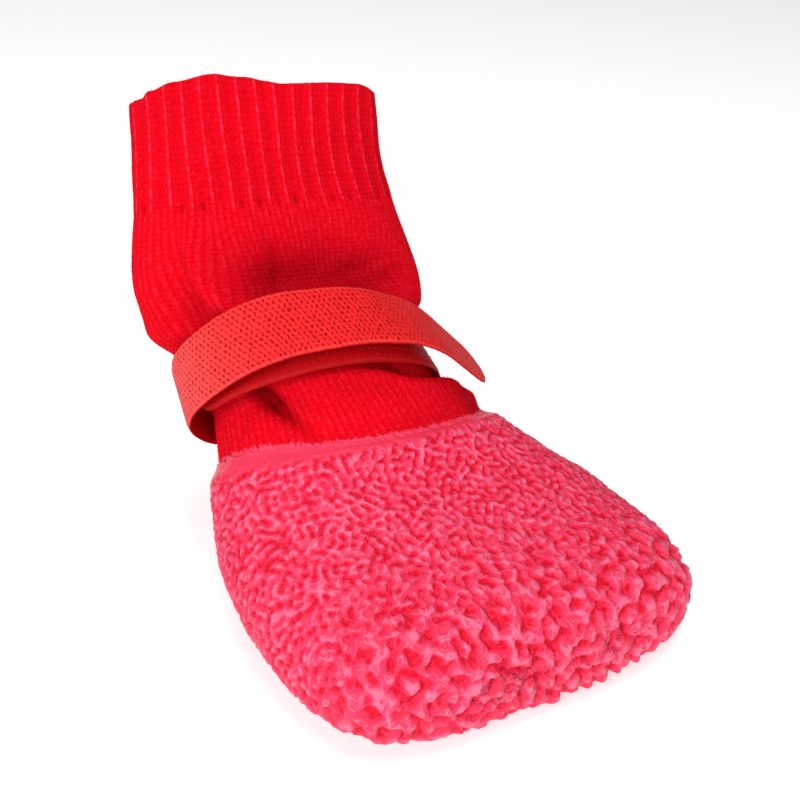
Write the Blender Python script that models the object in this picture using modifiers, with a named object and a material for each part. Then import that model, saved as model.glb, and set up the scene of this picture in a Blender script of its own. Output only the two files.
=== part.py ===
"""A pet sock for one paw: a knitted sock with a ribbed cuff, its foot dipped in crinkled latex, and a strap.

The sock stands on its latex sole with the toe towards -Y and its slack shaft leaning back.
Every wall comes from one form, a loft through the sections of the foot, ankle and shaft. The strap winds
round the waist of that form and over its own first end.
"""

import math
from collections import namedtuple

import bmesh
import bpy
import numpy as np
from mathutils import Vector

MM = 0.001

# Driving sizes, in millimetres.
KNIT_WALL = 1.5
LATEX_WALL = 1.6
GAP = 0.3
STRAP_WIDTH = 13.0
STRAP_THICKNESS = 1.1
STRAP_END_LENGTH = 4.5
FLOOR_OF_KNIT = LATEX_WALL + GAP

# How finely the form is cut: points round it, and rings between each pair of neighbouring sections.
POINTS_AROUND = 40
RINGS_PER_SECTION = 2
STRAP_STEPS = 84

# Sections of the knit's outer face, from the toe tip to the mouth. Each lies in a plane whose normal leans
# back from the vertical by `lean` degrees and is turned about the vertical by `turn` degrees. `front` and
# `back` are its depths towards instep and sole or heel, and `square` is the exponent of its outline.
Section = namedtuple("Section", "name x y z lean turn half_width front back square")
SECTIONS = (
    Section("toe_tip", 1.6, -47.4, 12.0, 90, -4, 21.0, 4.5, 4.5, 2.0),
    Section("toe_end", 1.4, -46.3, 12.0, 90, -4, 29.5, 8.0, 8.0, 2.3),
    Section("toe_turn", 1.2, -42.7, 12.0, 89, -3, 36.3, 10.5, 10.5, 2.5),
    Section("toe_box", 0.9, -36.5, 12.5, 88, -2, 39.8, 12.0, 13.0, 2.5),
    Section("ball", 0.2, -28.0, 13.5, 85, -1, 41.0, 13.5, 16.0, 2.4),
    Section("mid_foot", -1.0, -16.0, 15.5, 78, 0, 40.5, 15.5, 18.0, 2.3),
    Section("instep", -2.4, -5.0, 18.0, 66, -1, 38.0, 17.5, 19.5, 2.2),
    Section("heel", -3.5, 5.0, 22.5, 49, -2, 34.0, 20.0, 24.0, 2.1),
    Section("dip_rim", -4.5, 12.0, 30.0, 30, -4, 29.5, 20.5, 22.0, 2.0),
    Section("ankle", -5.8, 17.0, 36.0, 35, -6, 26.5, 18.0, 17.0, 2.0),
    Section("strap_foot", -6.8, 20.0, 40.0, 40, -7, 25.0, 17.0, 15.0, 2.0),
    Section("strap_head", -8.2, 26.0, 48.0, 38, -9, 25.5, 16.5, 14.5, 2.0),
    Section("above_strap", -10.2, 29.5, 54.0, 32, -10, 31.0, 17.0, 13.0, 2.0),
    Section("bulge", -11.8, 32.3, 63.0, 25, -12, 31.0, 15.0, 12.0, 2.1),
    Section("rib_foot", -12.6, 35.5, 75.5, 20, -14, 26.5, 11.0, 10.0, 2.2),
    Section("rib_middle", -12.8, 38.0, 86.0, 18, -14, 25.0, 9.5, 9.0, 2.3),
    Section("mouth", -12.5, 40.5, 96.3, 18, -14, 25.0, 9.0, 8.5, 2.4),
)
STATION = {section.name: index for index, section in enumerate(SECTIONS)}

# Slack folds of the knit above the dip. Each is a soft oval about a station and an angle, `along` stations
# and `wide` degrees to its edge, leaning by `slant` degrees of angle for each station up. A positive `sink`
# goes inwards and a negative one swells out, in millimetres.
Fold = namedtuple("Fold", "name station around along wide slant sink")
FOLDS = (
    Fold("hollow_under_cuff", 13.0, 30, 1.5, 42, 4, 3.2),
    Fold("wale_ridge", 12.7, -12, 1.3, 15, 0, -1.4),
    Fold("left_pouch", 12.6, -75, 1.3, 38, 0, -1.2),
    Fold("right_pouch", 12.6, 95, 1.2, 34, 0, -0.8),
    Fold("tuck_below_strap", 9.4, -26, 0.9, 26, -26, 1.7),
    Fold("roll_below_strap", 9.0, 16, 0.8, 40, 0, -1.0),
)

# The mouth edge rises and falls by these amounts along the shaft, at angles round it.
Wave = namedtuple("Wave", "around rise")
MOUTH_WAVE = (Wave(-90, -2.0), Wave(-52, 2.6), Wave(-5, 0.8), Wave(45, 1.2), Wave(90, -2.2), Wave(180, 0.6))

# The strap's way round the waist: `around` in degrees from the front towards +X, `up` along the shaft,
# `stand` from the knit to the middle of the tape, and `twist` of the tape about its own length.
Lay = namedtuple("Lay", "around up stand twist")
STRAP_LAY = (
    Lay(-50, -2.6, 0.95, 0),
    Lay(0, -2.4, 1.05, 0),
    Lay(45, -3.4, 1.5, 0),
    Lay(90, -3.8, 1.6, 0),
    Lay(150, -2.0, 1.1, 0),
    Lay(210, -2.0, 1.1, 0),
    Lay(255, -3.6, 2.2, 0),
    Lay(290, -2.6, 4.2, 0),
    Lay(325, -0.6, 4.0, 0),
    Lay(345, -0.6, 3.9, -5),
    Lay(365, -1.0, 4.4, -14),
    Lay(385, -2.2, 5.4, -30),
)
# The strap lies in a plane of its own through the waist, leaning and turned like a section.
STRAP_LEAN, STRAP_TURN = 50, -10
STRAP_RANGE = (-7, 3)
# The free end leaves that way along a line of its own.
TAIL_LENGTH = 26.0
TAIL_DIRECTION = (0.74, -0.08, -0.66)
TAIL_TWIST = -64.0

COLOURS = {
    "red_knit": ((0.72, 0.006, 0.014), 0.9),
    "coral_latex": ((0.85, 0.07, 0.13), 0.42),
    "coral_tape": ((0.84, 0.035, 0.035), 0.75),
}


def smooth_row(table, place):
    """The values of a table of numbers at a place between its rows, on a smooth curve through them."""
    last = len(table) - 1
    place = min(max(place, 0.0), float(last))
    row = min(int(place), last - 1)
    share = place - row
    before, start = table[max(row - 1, 0)], table[row]
    end, after = table[row + 1], table[min(row + 2, last)]
    square, cube = share**2, share**3
    return (
        (2 * cube - 3 * square + 1) * start
        + (cube - 2 * square + share) * (end - before) / 2
        + (3 * square - 2 * cube) * end
        + (cube - square) * (after - start) / 2
    )


def section_at(station):
    """The section at a station, where whole numbers are the rows of SECTIONS."""
    table = np.array([row[1:] for row in SECTIONS], float)
    return Section("", *smooth_row(table, station))


def section_axes(row):
    """Unit vectors of a section: across towards +X, forward towards the instep, and up along the limb."""
    lean, turn = math.radians(row.lean), math.radians(row.turn)
    across = np.array((math.cos(turn), math.sin(turn), 0.0))
    ahead = np.array((math.sin(turn), -math.cos(turn), 0.0))
    forward = ahead * math.cos(lean) + np.array((0.0, 0.0, math.sin(lean)))
    return across, forward, np.cross(across, -forward)


def form_point(station, around):
    """A point on the plain form. `around` is in radians, 0 at the front and growing towards +X."""
    row = section_at(station)
    across, forward, _ = section_axes(row)
    side = math.copysign(abs(math.sin(around)) ** (2 / row.square), math.sin(around))
    share = math.copysign(abs(math.cos(around)) ** (2 / row.square), math.cos(around))
    depth = share * (row.front if share > 0 else row.back)
    point = np.array((row.x, row.y, row.z)) + across * side * row.half_width + forward * depth
    point[2] = max(point[2], FLOOR_OF_KNIT)
    return point


def fold_sink(station, around):
    """How far the slack folds draw the knit in at a place, in millimetres."""
    degrees = math.degrees(around)
    sink = 0.0
    for fold in FOLDS:
        up = station - fold.station
        turn = (degrees - fold.around - fold.slant * up + 180) % 360 - 180
        reach = math.hypot(up / fold.along, turn / fold.wide)
        if reach < 1:
            sink += fold.sink * (1 + math.cos(math.pi * reach)) / 2
    return sink


def wave_rise(around):
    """How far the mouth edge rises at an angle, on a smooth closed curve through MOUTH_WAVE."""
    degrees = (math.degrees(around) + 90) % 360 - 90
    rows = [tuple(wave) for wave in MOUTH_WAVE] + [(270, MOUTH_WAVE[0].rise)]
    for (start, low), (end, high) in zip(rows, rows[1:]):
        if start <= degrees <= end:
            share = (1 - math.cos(math.pi * (degrees - start) / (end - start))) / 2
            return low + (high - low) * share
    return 0.0


def knit_point(station, around):
    """A point on the knit's outer face: the form with its slack folds and the wave of its mouth."""
    row = section_at(station)
    _, _, up = section_axes(row)
    centre = np.array((row.x, row.y, row.z))
    point = form_point(station, around)
    outwards = point - centre
    outwards = outwards / max(np.linalg.norm(outwards), 1e-6)
    point = point - outwards * fold_sink(station, around)
    share = max(0.0, (station - STATION["rib_foot"]) / (STATION["mouth"] - STATION["rib_foot"]))
    return point + up * wave_rise(around) * share**1.5


def stations_between(first, last):
    """Evenly spaced stations from one named section to another."""
    count = (STATION[last] - STATION[first]) * RINGS_PER_SECTION
    return np.linspace(STATION[first], STATION[last], count + 1)


def tube_surface(first, last, point_at):
    """An open surface through the form's rings, closed over the toe by a fan, as a BMesh in millimetres."""
    mesh = bmesh.new()
    angles = [2 * math.pi * step / POINTS_AROUND for step in range(POINTS_AROUND)]
    rings = [
        [mesh.verts.new(Vector(point_at(station, angle))) for angle in angles]
        for station in stations_between(first, last)
    ]
    for lower, upper in zip(rings, rings[1:]):
        for step in range(POINTS_AROUND):
            after = (step + 1) % POINTS_AROUND
            mesh.faces.new((lower[step], lower[after], upper[after], upper[step]))
    middle = sum((vert.co for vert in rings[0]), Vector()) / POINTS_AROUND
    tip = mesh.verts.new(middle)
    for step in range(POINTS_AROUND):
        mesh.faces.new((rings[0][(step + 1) % POINTS_AROUND], rings[0][step], tip))
    bmesh.ops.recalc_face_normals(mesh, faces=mesh.faces)
    mesh.normal_update()
    return mesh


def grown(mesh, distance):
    """Moves every point of an open surface out along its normal."""
    moves = [(vert, vert.normal.copy()) for vert in mesh.verts]
    for vert, normal in moves:
        vert.co += normal * distance
    mesh.normal_update()
    return mesh


def convex_outline(points):
    """The corners of the smallest convex outline round points in a plane, in order."""
    ordered = sorted(map(tuple, points))

    def half(sequence):
        chain = []
        for point in sequence:
            while len(chain) > 1:
                (ax, ay), (bx, by) = chain[-2], chain[-1]
                if (bx - ax) * (point[1] - ay) - (by - ay) * (point[0] - ax) > 0:
                    break
                chain.pop()
            chain.append(point)
        return chain[:-1]

    return half(ordered) + half(ordered[::-1])


def waist_outlines():
    """The plane of the strap, and the outlines a taut tape takes there at whole millimetres up and down."""
    middle = (STATION["strap_foot"] + STATION["strap_head"]) / 2
    row = section_at(middle)._replace(lean=STRAP_LEAN, turn=STRAP_TURN)
    centre = np.array((row.x, row.y, row.z))
    axes = section_axes(row)
    offsets = np.array(
        [
            knit_point(station, 2 * math.pi * step / 72) - centre
            for station in np.linspace(STATION["heel"], STATION["rib_foot"], 49)
            for step in range(72)
        ]
    ) @ np.array(axes).T
    outlines = {}
    for up in range(STRAP_RANGE[0], STRAP_RANGE[1] + 1):
        near = offsets[abs(offsets[:, 2] - up) < STRAP_WIDTH / 2 + 0.3]
        outlines[up] = convex_outline(near[:, :2])
    return centre, axes, outlines


def outline_reach(corners, around):
    """The distance from the centre to a closed outline in one direction."""
    aim = (math.sin(around), math.cos(around))
    for (ax, ay), (bx, by) in zip(corners, corners[1:] + corners[:1]):
        dx, dy = bx - ax, by - ay
        cross = aim[0] * dy - aim[1] * dx
        if abs(cross) < 1e-9:
            continue
        reach = (ax * dy - ay * dx) / cross
        share = (ax * aim[1] - ay * aim[0]) / cross
        if reach > 0 and -1e-9 <= share <= 1 + 1e-9:
            return reach
    raise ValueError("the outline does not go round its centre")


def lay_at(around):
    """The strap's lay at an angle in degrees, on a smooth curve through STRAP_LAY."""
    angles = [lay.around for lay in STRAP_LAY]
    place = float(np.interp(around, angles, range(len(angles))))
    return Lay(around, *smooth_row(np.array([lay[1:] for lay in STRAP_LAY], float), place))


def strap_line():
    """The strap's middle line: points, the directions across its width, and its twists in radians."""
    centre, (across, forward, up), outlines = waist_outlines()
    points, twists = [], []
    for around in np.linspace(STRAP_LAY[0].around, STRAP_LAY[-1].around, STRAP_STEPS):
        lay = lay_at(around)
        angle = math.radians(around)
        below = math.floor(lay.up)
        low, high = outline_reach(outlines[below], angle), outline_reach(outlines[below + 1], angle)
        reach = low + (high - low) * (lay.up - below) + lay.stand
        points.append(
            centre + (across * math.sin(angle) + forward * math.cos(angle)) * reach + up * lay.up
        )
        twists.append(math.radians(lay.twist))
    heading = points[-1] - points[-2]
    step = np.linalg.norm(heading)
    aim = np.array(TAIL_DIRECTION) / np.linalg.norm(TAIL_DIRECTION)
    count = round(TAIL_LENGTH / step)
    for index in range(1, count + 1):
        share = min(1.0, index / (count * 0.5))
        turned = heading / step * (1 - share) + aim * share
        points.append(points[-1] + turned / np.linalg.norm(turned) * step)
        twists.append(math.radians(STRAP_LAY[-1].twist + (TAIL_TWIST - STRAP_LAY[-1].twist) * index / count))
    return np.array(points), up, np.array(twists)


def strap_frames(points, up, twists):
    """At each point of the strap, the unit vectors across its width and out through its face."""
    frames = []
    for index, _ in enumerate(points):
        ahead = points[min(index + 1, len(points) - 1)] - points[max(index - 1, 0)]
        ahead = ahead / np.linalg.norm(ahead)
        width = up - ahead * (up @ ahead)
        width = width / np.linalg.norm(width)
        outwards = np.cross(ahead, width)
        cos, sin = math.cos(twists[index]), math.sin(twists[index])
        frames.append((width * cos + outwards * sin, outwards * cos - width * sin))
    return frames


def end_width(along, length):
    """The strap's half width at a distance along it, with both ends rounded off."""
    near = min(along, length - along)
    if near >= STRAP_END_LENGTH:
        return STRAP_WIDTH / 2
    share = 1 - near / STRAP_END_LENGTH
    return STRAP_WIDTH / 2 * (0.45 + 0.55 * math.sqrt(max(0.0, 1 - share**2)))


def collection_named(name):
    """A new collection in the scene."""
    collection = bpy.data.collections.new(name)
    bpy.context.scene.collection.children.link(collection)
    return collection


def material_named(name):
    """The Principled material of one of COLOURS."""
    colour, roughness = COLOURS[name]
    material = bpy.data.materials.new(name)
    material.use_nodes = True
    shader = material.node_tree.nodes["Principled BSDF"]
    shader.inputs["Base Color"].default_value = (*colour, 1.0)
    shader.inputs["Roughness"].default_value = roughness
    material.diffuse_color = (*colour, 1.0)
    material.roughness = roughness
    return material


def object_from(mesh, name, material, collection):
    """An object in metres from a BMesh in millimetres."""
    bmesh.ops.scale(mesh, vec=(MM, MM, MM), verts=mesh.verts)
    data = bpy.data.meshes.new(name)
    mesh.to_mesh(data)
    mesh.free()
    data.materials.append(material)
    item = bpy.data.objects.new(name, data)
    collection.objects.link(item)
    return item


def add_wall(item, thickness, side):
    """Gives an open surface a real wall, on its inner side for -1 and its outer side for 1."""
    wall = item.modifiers.new("wall", "SOLIDIFY")
    wall.thickness = thickness * MM
    wall.offset = side
    wall.use_rim = True


def build_knit(collection):
    """The knitted sock: one hollow tube from its closed toe to its open mouth."""
    surface = tube_surface("toe_tip", "mouth", knit_point)
    knit = object_from(surface, "knit_sock", material_named("red_knit"), collection)
    add_wall(knit, KNIT_WALL, -1)
    return knit


def build_latex(collection):
    """The latex foot: a cup over the knit from the toe to the dip rim, which is also the sole."""
    surface = grown(tube_surface("toe_tip", "dip_rim", form_point), GAP)
    latex = object_from(surface, "latex_foot", material_named("coral_latex"), collection)
    add_wall(latex, LATEX_WALL, 1)
    return latex


def build_strap(collection):
    """The strap: one flat tape laid along its line, with rounded ends."""
    points, up, twists = strap_line()
    frames = strap_frames(points, up, twists)
    travelled = np.concatenate(((0.0,), np.cumsum(np.linalg.norm(np.diff(points, axis=0), axis=1))))
    mesh = bmesh.new()
    rings = []
    for point, (width, outwards), along in zip(points, frames, travelled):
        half = end_width(along, travelled[-1])
        corners = ((1, 1), (-1, 1), (-1, -1), (1, -1))
        rings.append(
            [
                mesh.verts.new(Vector(point + width * half * a + outwards * STRAP_THICKNESS / 2 * b))
                for a, b in corners
            ]
        )
    for before, after in zip(rings, rings[1:]):
        for step in range(4):
            turn = (step + 1) % 4
            mesh.faces.new((before[step], before[turn], after[turn], after[step]))
    mesh.faces.new(rings[0])
    mesh.faces.new(rings[-1][::-1])
    bmesh.ops.recalc_face_normals(mesh, faces=mesh.faces)
    return object_from(mesh, "strap", material_named("coral_tape"), collection)


def main():
    """Builds the sock from an empty scene."""
    for item in list(bpy.data.objects):
        bpy.data.objects.remove(item, do_unlink=True)
    collection = collection_named("pet_sock")
    build_knit(collection)
    build_latex(collection)
    build_strap(collection)


if __name__ == "__main__":
    main()
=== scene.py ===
"""A pet sock for one paw: a red knitted sock with a ribbed cuff, a crinkled latex foot and a tape strap.

The sock stands on its latex sole with the toe towards -Y. Sizes are in millimetres and angles in degrees,
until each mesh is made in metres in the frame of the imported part.
"""

import sys

import logging
import math
from dataclasses import dataclass, field, replace
from enum import Enum
from typing import Any

import bpy
import numpy as np
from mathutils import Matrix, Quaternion, Vector, noise


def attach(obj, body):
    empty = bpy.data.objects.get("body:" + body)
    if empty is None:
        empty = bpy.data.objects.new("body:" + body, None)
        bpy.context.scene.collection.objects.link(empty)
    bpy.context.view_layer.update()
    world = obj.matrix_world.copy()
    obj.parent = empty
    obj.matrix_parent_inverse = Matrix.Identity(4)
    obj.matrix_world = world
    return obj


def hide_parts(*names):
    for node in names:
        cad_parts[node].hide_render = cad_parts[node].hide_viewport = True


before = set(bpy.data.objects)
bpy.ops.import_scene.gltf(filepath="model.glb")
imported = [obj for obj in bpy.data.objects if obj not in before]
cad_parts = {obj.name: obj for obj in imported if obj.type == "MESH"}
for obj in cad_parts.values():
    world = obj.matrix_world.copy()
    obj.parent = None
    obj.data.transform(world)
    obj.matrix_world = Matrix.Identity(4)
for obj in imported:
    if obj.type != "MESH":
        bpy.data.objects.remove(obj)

LOG = logging.getLogger("pet_sock")
MM = 0.001
MID_GREY = (0.5, 0.5, 0.5)
BUMP_STRENGTH = 0.9
WHITE = (1.0, 1.0, 1.0, 1.0)
Array = np.ndarray
Triple = tuple[float, float, float]
Paint = tuple[float, ...]
Socket = bpy.types.NodeSocket
NodeTree = bpy.types.NodeTree
Piece = bpy.types.Object
Material = bpy.types.Material


class Slot(Enum):
    """The record's material slots."""

    KNIT = "red_knit"
    LATEX = "coral_latex"
    TAPE = "coral_tape"


class Kind(Enum):
    """The kinds of socket that a node group has."""

    WHOLE = "NodeSocketInt"
    NUMBER = "NodeSocketFloat"
    VECTOR = "NodeSocketVector"
    MATERIAL = "NodeSocketMaterial"
    MESH = "NodeSocketGeometry"


class Weight(Enum):
    """How closely a ring's columns stand on the sole, where 1 is as on the top."""

    EVEN = 1.0
    TOP_HEAVY = 0.25


@dataclass(frozen=True)
class Section:
    """One cross-section of the limb: its place, its lean and turn, its half sizes and its squareness."""

    name: str
    x: float
    y: float
    z: float
    lean: float
    turn: float
    half_width: float
    front: float
    back: float
    square: float

    def row(self) -> tuple[float, ...]:
        """The numbers of the section as one row of a table."""
        sizes = (self.half_width, self.front, self.back, self.square)
        return (self.x, self.y, self.z, self.lean, self.turn, *sizes)


@dataclass(frozen=True)
class Fold:
    """A soft oval of slack knit about a station and an angle. A positive sink goes inwards."""

    name: str
    station: float
    around: float
    along: float
    wide: float
    slant: float
    sink: float


@dataclass(frozen=True)
class Crease:
    """A trough, or with a negative depth a ridge, along a path of (station, angle) on the knit."""

    name: str
    path: tuple[tuple[float, float], ...]
    width: float
    depth: float


@dataclass(frozen=True)
class Lay:
    """How the strap lies at an angle: up the shaft, out from the knit, and twisted about its length."""

    around: float
    up: float
    stand: float
    twist: float


SECTIONS = (
    Section("toe_tip", 1.6, -47.4, 12.0, 90, -4, 21.0, 4.5, 4.5, 2.0),
    Section("toe_end", 1.4, -46.3, 12.0, 90, -4, 29.5, 8.0, 8.0, 2.3),
    Section("toe_turn", 1.2, -42.7, 12.0, 89, -3, 36.3, 10.5, 10.5, 2.5),
    Section("toe_box", 0.9, -36.5, 12.5, 88, -2, 39.8, 12.0, 13.0, 2.5),
    Section("ball", 0.2, -28.0, 13.5, 85, -1, 41.0, 13.5, 16.0, 2.4),
    Section("mid_foot", -1.0, -16.0, 15.5, 78, 0, 40.5, 15.5, 18.0, 2.3),
    Section("instep", -2.4, -5.0, 18.0, 66, -1, 38.0, 17.5, 19.5, 2.2),
    Section("heel", -3.5, 5.0, 22.5, 49, -2, 34.0, 20.0, 24.0, 2.1),
    Section("dip_rim", -4.5, 12.0, 30.0, 30, -4, 29.5, 20.5, 22.0, 2.0),
    Section("ankle", -5.8, 17.0, 36.0, 35, -6, 26.5, 18.0, 17.0, 2.0),
    Section("strap_foot", -6.8, 20.0, 40.0, 40, -7, 25.0, 17.0, 15.0, 2.0),
    Section("strap_head", -8.2, 26.0, 48.0, 38, -9, 25.5, 16.5, 14.5, 2.0),
    Section("above_strap", -10.2, 29.5, 54.0, 32, -10, 29.6, 17.0, 13.0, 2.0),
    Section("bulge", -11.7, 32.3, 63.0, 25, -12, 29.3, 15.0, 12.0, 2.1),
    Section("rib_foot", -12.6, 35.5, 75.5, 20, -14, 26.5, 11.0, 10.0, 2.2),
    Section("rib_middle", -12.8, 38.0, 86.0, 18, -14, 25.0, 9.5, 9.0, 2.3),
    Section("mouth", -12.2, 40.5, 96.3, 18, -14, 24.5, 9.0, 8.5, 2.4),
)

FOLDS = (
    Fold("hollow_under_cuff", 12.6, 12, 1.45, 62, 4, 5.8),
    Fold("hollow_left_part", 12.6, -16, 1.4, 26, 0, 3.0),
    Fold("hollow_right_part", 12.2, 46, 1.2, 40, 6, 2.2),
    Fold("hollow_to_the_right", 12.7, 46, 0.9, 30, 10, 1.6),
    Fold("wale_ridge", 12.7, -36, 1.6, 12, -3, -3.2),
    Fold("dip_left_of_ridge", 12.2, -54, 1.5, 16, 4, 3.8),
    Fold("left_pouch", 12.9, -75, 1.2, 34, 0, -0.9),
    Fold("left_sag", 11.5, -88, 0.9, 44, 0, -1.8),
    Fold("right_pouch", 12.7, 98, 1.2, 34, 0, -0.8),
    Fold("nip_under_strap", 9.2, 95, 0.75, 70, 0, 4.4),
    Fold("nip_at_strap_head", 10.8, 90, 0.9, 62, 0, 2.2),
    Fold("roll_below_strap", 8.8, 42, 0.8, 62, 0, -1.7),
    Fold("right_shelf", 8.5, 84, 0.6, 34, 0, -1.9),
    Fold("hollow_over_roll", 9.9, 40, 0.5, 55, -14, 1.6),
)

CREASES = (
    Crease("tuck_line", ((10.4, -55), (10.0, -51), (9.55, -46), (8.95, -39), (8.3, -27)), 2.4, 3.4),
    Crease("tuck_mouth", ((10.7, -57), (10.3, -51), (9.8, -46), (9.4, -42)), 3.8, 2.2),
    Crease("tuck_slope", ((9.8, -40), (9.3, -33), (8.8, -24)), 4.6, 1.2),
    Crease("roll_edge", ((9.85, -24), (9.75, -6), (9.55, 8), (9.1, 18), (8.95, 34), (8.85, 64)), 2.6, -1.6),
    Crease("roll_gap", ((10.15, 2), (9.9, 14), (9.6, 28), (9.4, 46), (9.3, 70)), 2.6, 2.4),
    Crease("small_pleat", ((8.7, -66), (9.3, -62), (9.9, -60)), 1.6, 0.5),
    Crease("slack_line", ((13.7, -8), (13.2, -6), (12.6, -10)), 2.2, 0.7),
    Crease("slack_wave", ((12.3, 20), (12.5, 40), (12.9, 60)), 2.6, -0.6),
    Crease("back_fold", ((12.6, 150), (12.2, 180), (12.6, 215)), 4.0, 1.2),
    Crease("heel_fold", ((9.6, 150), (9.2, 180), (9.6, 210)), 3.4, 0.9),
    Crease("side_fold", ((13.2, 84), (12.6, 92), (12.1, 104)), 2.6, 0.8),
    Crease("side_pleat", ((13.1, -98), (12.6, -92), (12.1, -88)), 2.6, 0.8),
)

MOUTH_WAVE = (
    (-90.0, -1.0),
    (-70.0, -0.6),
    (-60.0, 0.6),
    (-40.0, 2.0),
    (-20.0, 3.1),
    (-8.0, 2.4),
    (6.0, 0.9),
    (25.0, 0.9),
    (50.0, 0.6),
    (70.0, -0.3),
    (90.0, -0.7),
    (180.0, 0.2),
    (270.0, -1.0),
)

STRAP_LAY = (
    Lay(-80, -2.8, 0.95, 0),
    Lay(-40, -2.6, 0.95, 0),
    Lay(0, -2.4, 1.05, 0),
    Lay(45, -2.9, 0.3, -8),
    Lay(90, -2.2, -2.5, -18),
    Lay(150, -1.6, -4.2, -22),
    Lay(210, -1.4, -4.6, -22),
    Lay(255, -3.6, 2.2, 0),
    Lay(290, -2.6, 4.2, 0),
    Lay(325, -0.6, 4.0, 0),
    Lay(345, -0.6, 3.9, -5),
    Lay(365, -1.0, 4.4, -10),
    Lay(385, -2.2, 5.4, -16),
)


def smooth_rows(table: Array, places: Array) -> Array:
    """Reads a table at places between its rows, on a smooth curve through them.

    Args:
        table: One row of numbers for each whole place.
        places: Where to read it, in rows.

    Returns:
        The rows read, one for each place.
    """
    last = len(table) - 1
    place = np.clip(np.asarray(places, float), 0, last)
    low = np.minimum(place.astype(int), last - 1)
    share = (place - low)[..., None]
    before, start = table[np.maximum(low - 1, 0)], table[low]
    end, after = table[low + 1], table[np.minimum(low + 2, last)]
    square, cube = share**2, share**3
    return (
        (2 * cube - 3 * square + 1) * start
        + (cube - 2 * square + share) * (end - before) / 2
        + (3 * square - 2 * cube) * end
        + (cube - square) * (after - start) / 2
    )


def smooth_step(value: Array, low: float, high: float) -> Array:
    """How far a value is from low to high, from 0 to 1 with soft ends."""
    share = np.clip((value - low) / (high - low), 0, 1)
    return share * share * (3 - 2 * share)


@dataclass(frozen=True)
class Ramp:
    """A soft rise from nothing to its height, between two values."""

    low: float
    high: float
    height: float = 1.0

    def at(self, value: Array) -> Array:
        """How high the rise is at each value."""
        return self.height * smooth_step(value, self.low, self.high)


def bell(value: Array, reach: float) -> Array:
    """A bell curve about zero, which falls to a third or so at its reach."""
    return np.exp(-((value / reach) ** 2))


def wrapped(degrees: Array) -> Array:
    """Triple in degrees, brought between -180 and 180."""
    return (degrees + 180) % 360 - 180


def signed_power(value: Array, power: Array) -> Array:
    """A power of a value's size that keeps its sign."""
    return np.sign(value) * np.abs(value) ** power


def lengths(vectors: Array) -> Array:
    """The length of each vector."""
    return np.linalg.norm(vectors, axis=-1)


def running(steps: Array) -> Array:
    """The distance gone before each step, and after the last one."""
    return np.concatenate(((0.0,), np.cumsum(steps)))


def unit(vectors: Array) -> Array:
    """Each vector at length one."""
    return vectors / np.maximum(lengths(vectors), 1e-9)[..., None]


def inner_picks(rows: int, count: int, power: float) -> Array:
    """Picks the rows that an inner face keeps of an outer one, from the mouth back to the toe.

    Args:
        rows: How many rows the outer face has.
        count: How many to pick at most.
        power: How much closer together they lie at the toe, where 1 is evenly.

    Returns:
        The rows' numbers, the highest first.
    """
    back = np.linspace(1, 0, count) ** power
    return np.unique(np.round(back * (rows - 1)).astype(int))[::-1]


def noise_at(points: Array, scale: float, seed: float) -> Array:
    """Soft noise from -1 to 1 at points.

    Args:
        points: Places in millimetres.
        scale: The size of the noise's lumps, in millimetres.
        seed: Moves the noise, so that two layers differ.

    Returns:
        The noise at each point.
    """
    flat = (points.reshape(-1, 3) / scale + seed * 17.31).tolist()
    return np.array([noise.noise(place) for place in flat]).reshape(points.shape[:-1])


@dataclass
class Labyrinth:
    """A solid pattern of winding ridges that keep one pitch, and that repeats on every side.

    Attributes:
        cells: Cells along each side of the block.
        per_pitch: Cells from one ridge to the next.
        rounds: How often the pattern is sharpened.
        spread: How much the pitch may vary, as a share of it.
        sharpness: How hard each round drives the pattern towards full height or depth.
        seed: The seed of its first noise.
        block: The pattern, made from the rest.
    """

    cells: int = 112
    per_pitch: float = 6.0
    rounds: int = 6
    spread: float = 0.2
    sharpness: float = 2.5
    seed: int = 11
    block: Array = field(init=False)

    def __post_init__(self) -> None:
        """Grows the pattern from noise by keeping one wavelength and sharpening, again and again."""
        turns = np.fft.fftfreq(self.cells)
        half = np.fft.rfftfreq(self.cells)
        parts = np.meshgrid(turns, turns, half, indexing="ij", sparse=True)
        size = np.sqrt(parts[0] ** 2 + parts[1] ** 2 + parts[2] ** 2)
        wanted = 1 / self.per_pitch
        keep = np.exp(-(((size - wanted) / (self.spread * wanted)) ** 2))
        shape = (self.cells,) * 3
        block = np.random.default_rng(self.seed).standard_normal(shape)
        for _ in range(self.rounds):
            waves = np.fft.rfftn(np.tanh(self.sharpness * block))
            block = np.fft.irfftn(waves * keep, s=shape, axes=(0, 1, 2))
            block /= block.std()
        self.block = block.astype(np.float32)

    def at(self, points: Array, pitch: float) -> Array:
        """Reads the pattern.

        Args:
            points: Places in millimetres.
            pitch: The distance between ridges in millimetres.

        Returns:
            About -1.5 in a valley to 1.5 on a ridge.
        """
        place = points / pitch * self.per_pitch
        low = np.floor(place).astype(int)
        share = place - low
        total = np.zeros(points.shape[:-1])
        for corner in range(8):
            side = np.array((corner & 1, corner >> 1 & 1, corner >> 2 & 1))
            weight = np.where(side == 1, share, 1 - share).prod(axis=-1)
            x, y, z = np.moveaxis((low + side) % self.cells, -1, 0)
            total += weight * self.block[x, y, z]
        return total


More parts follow.
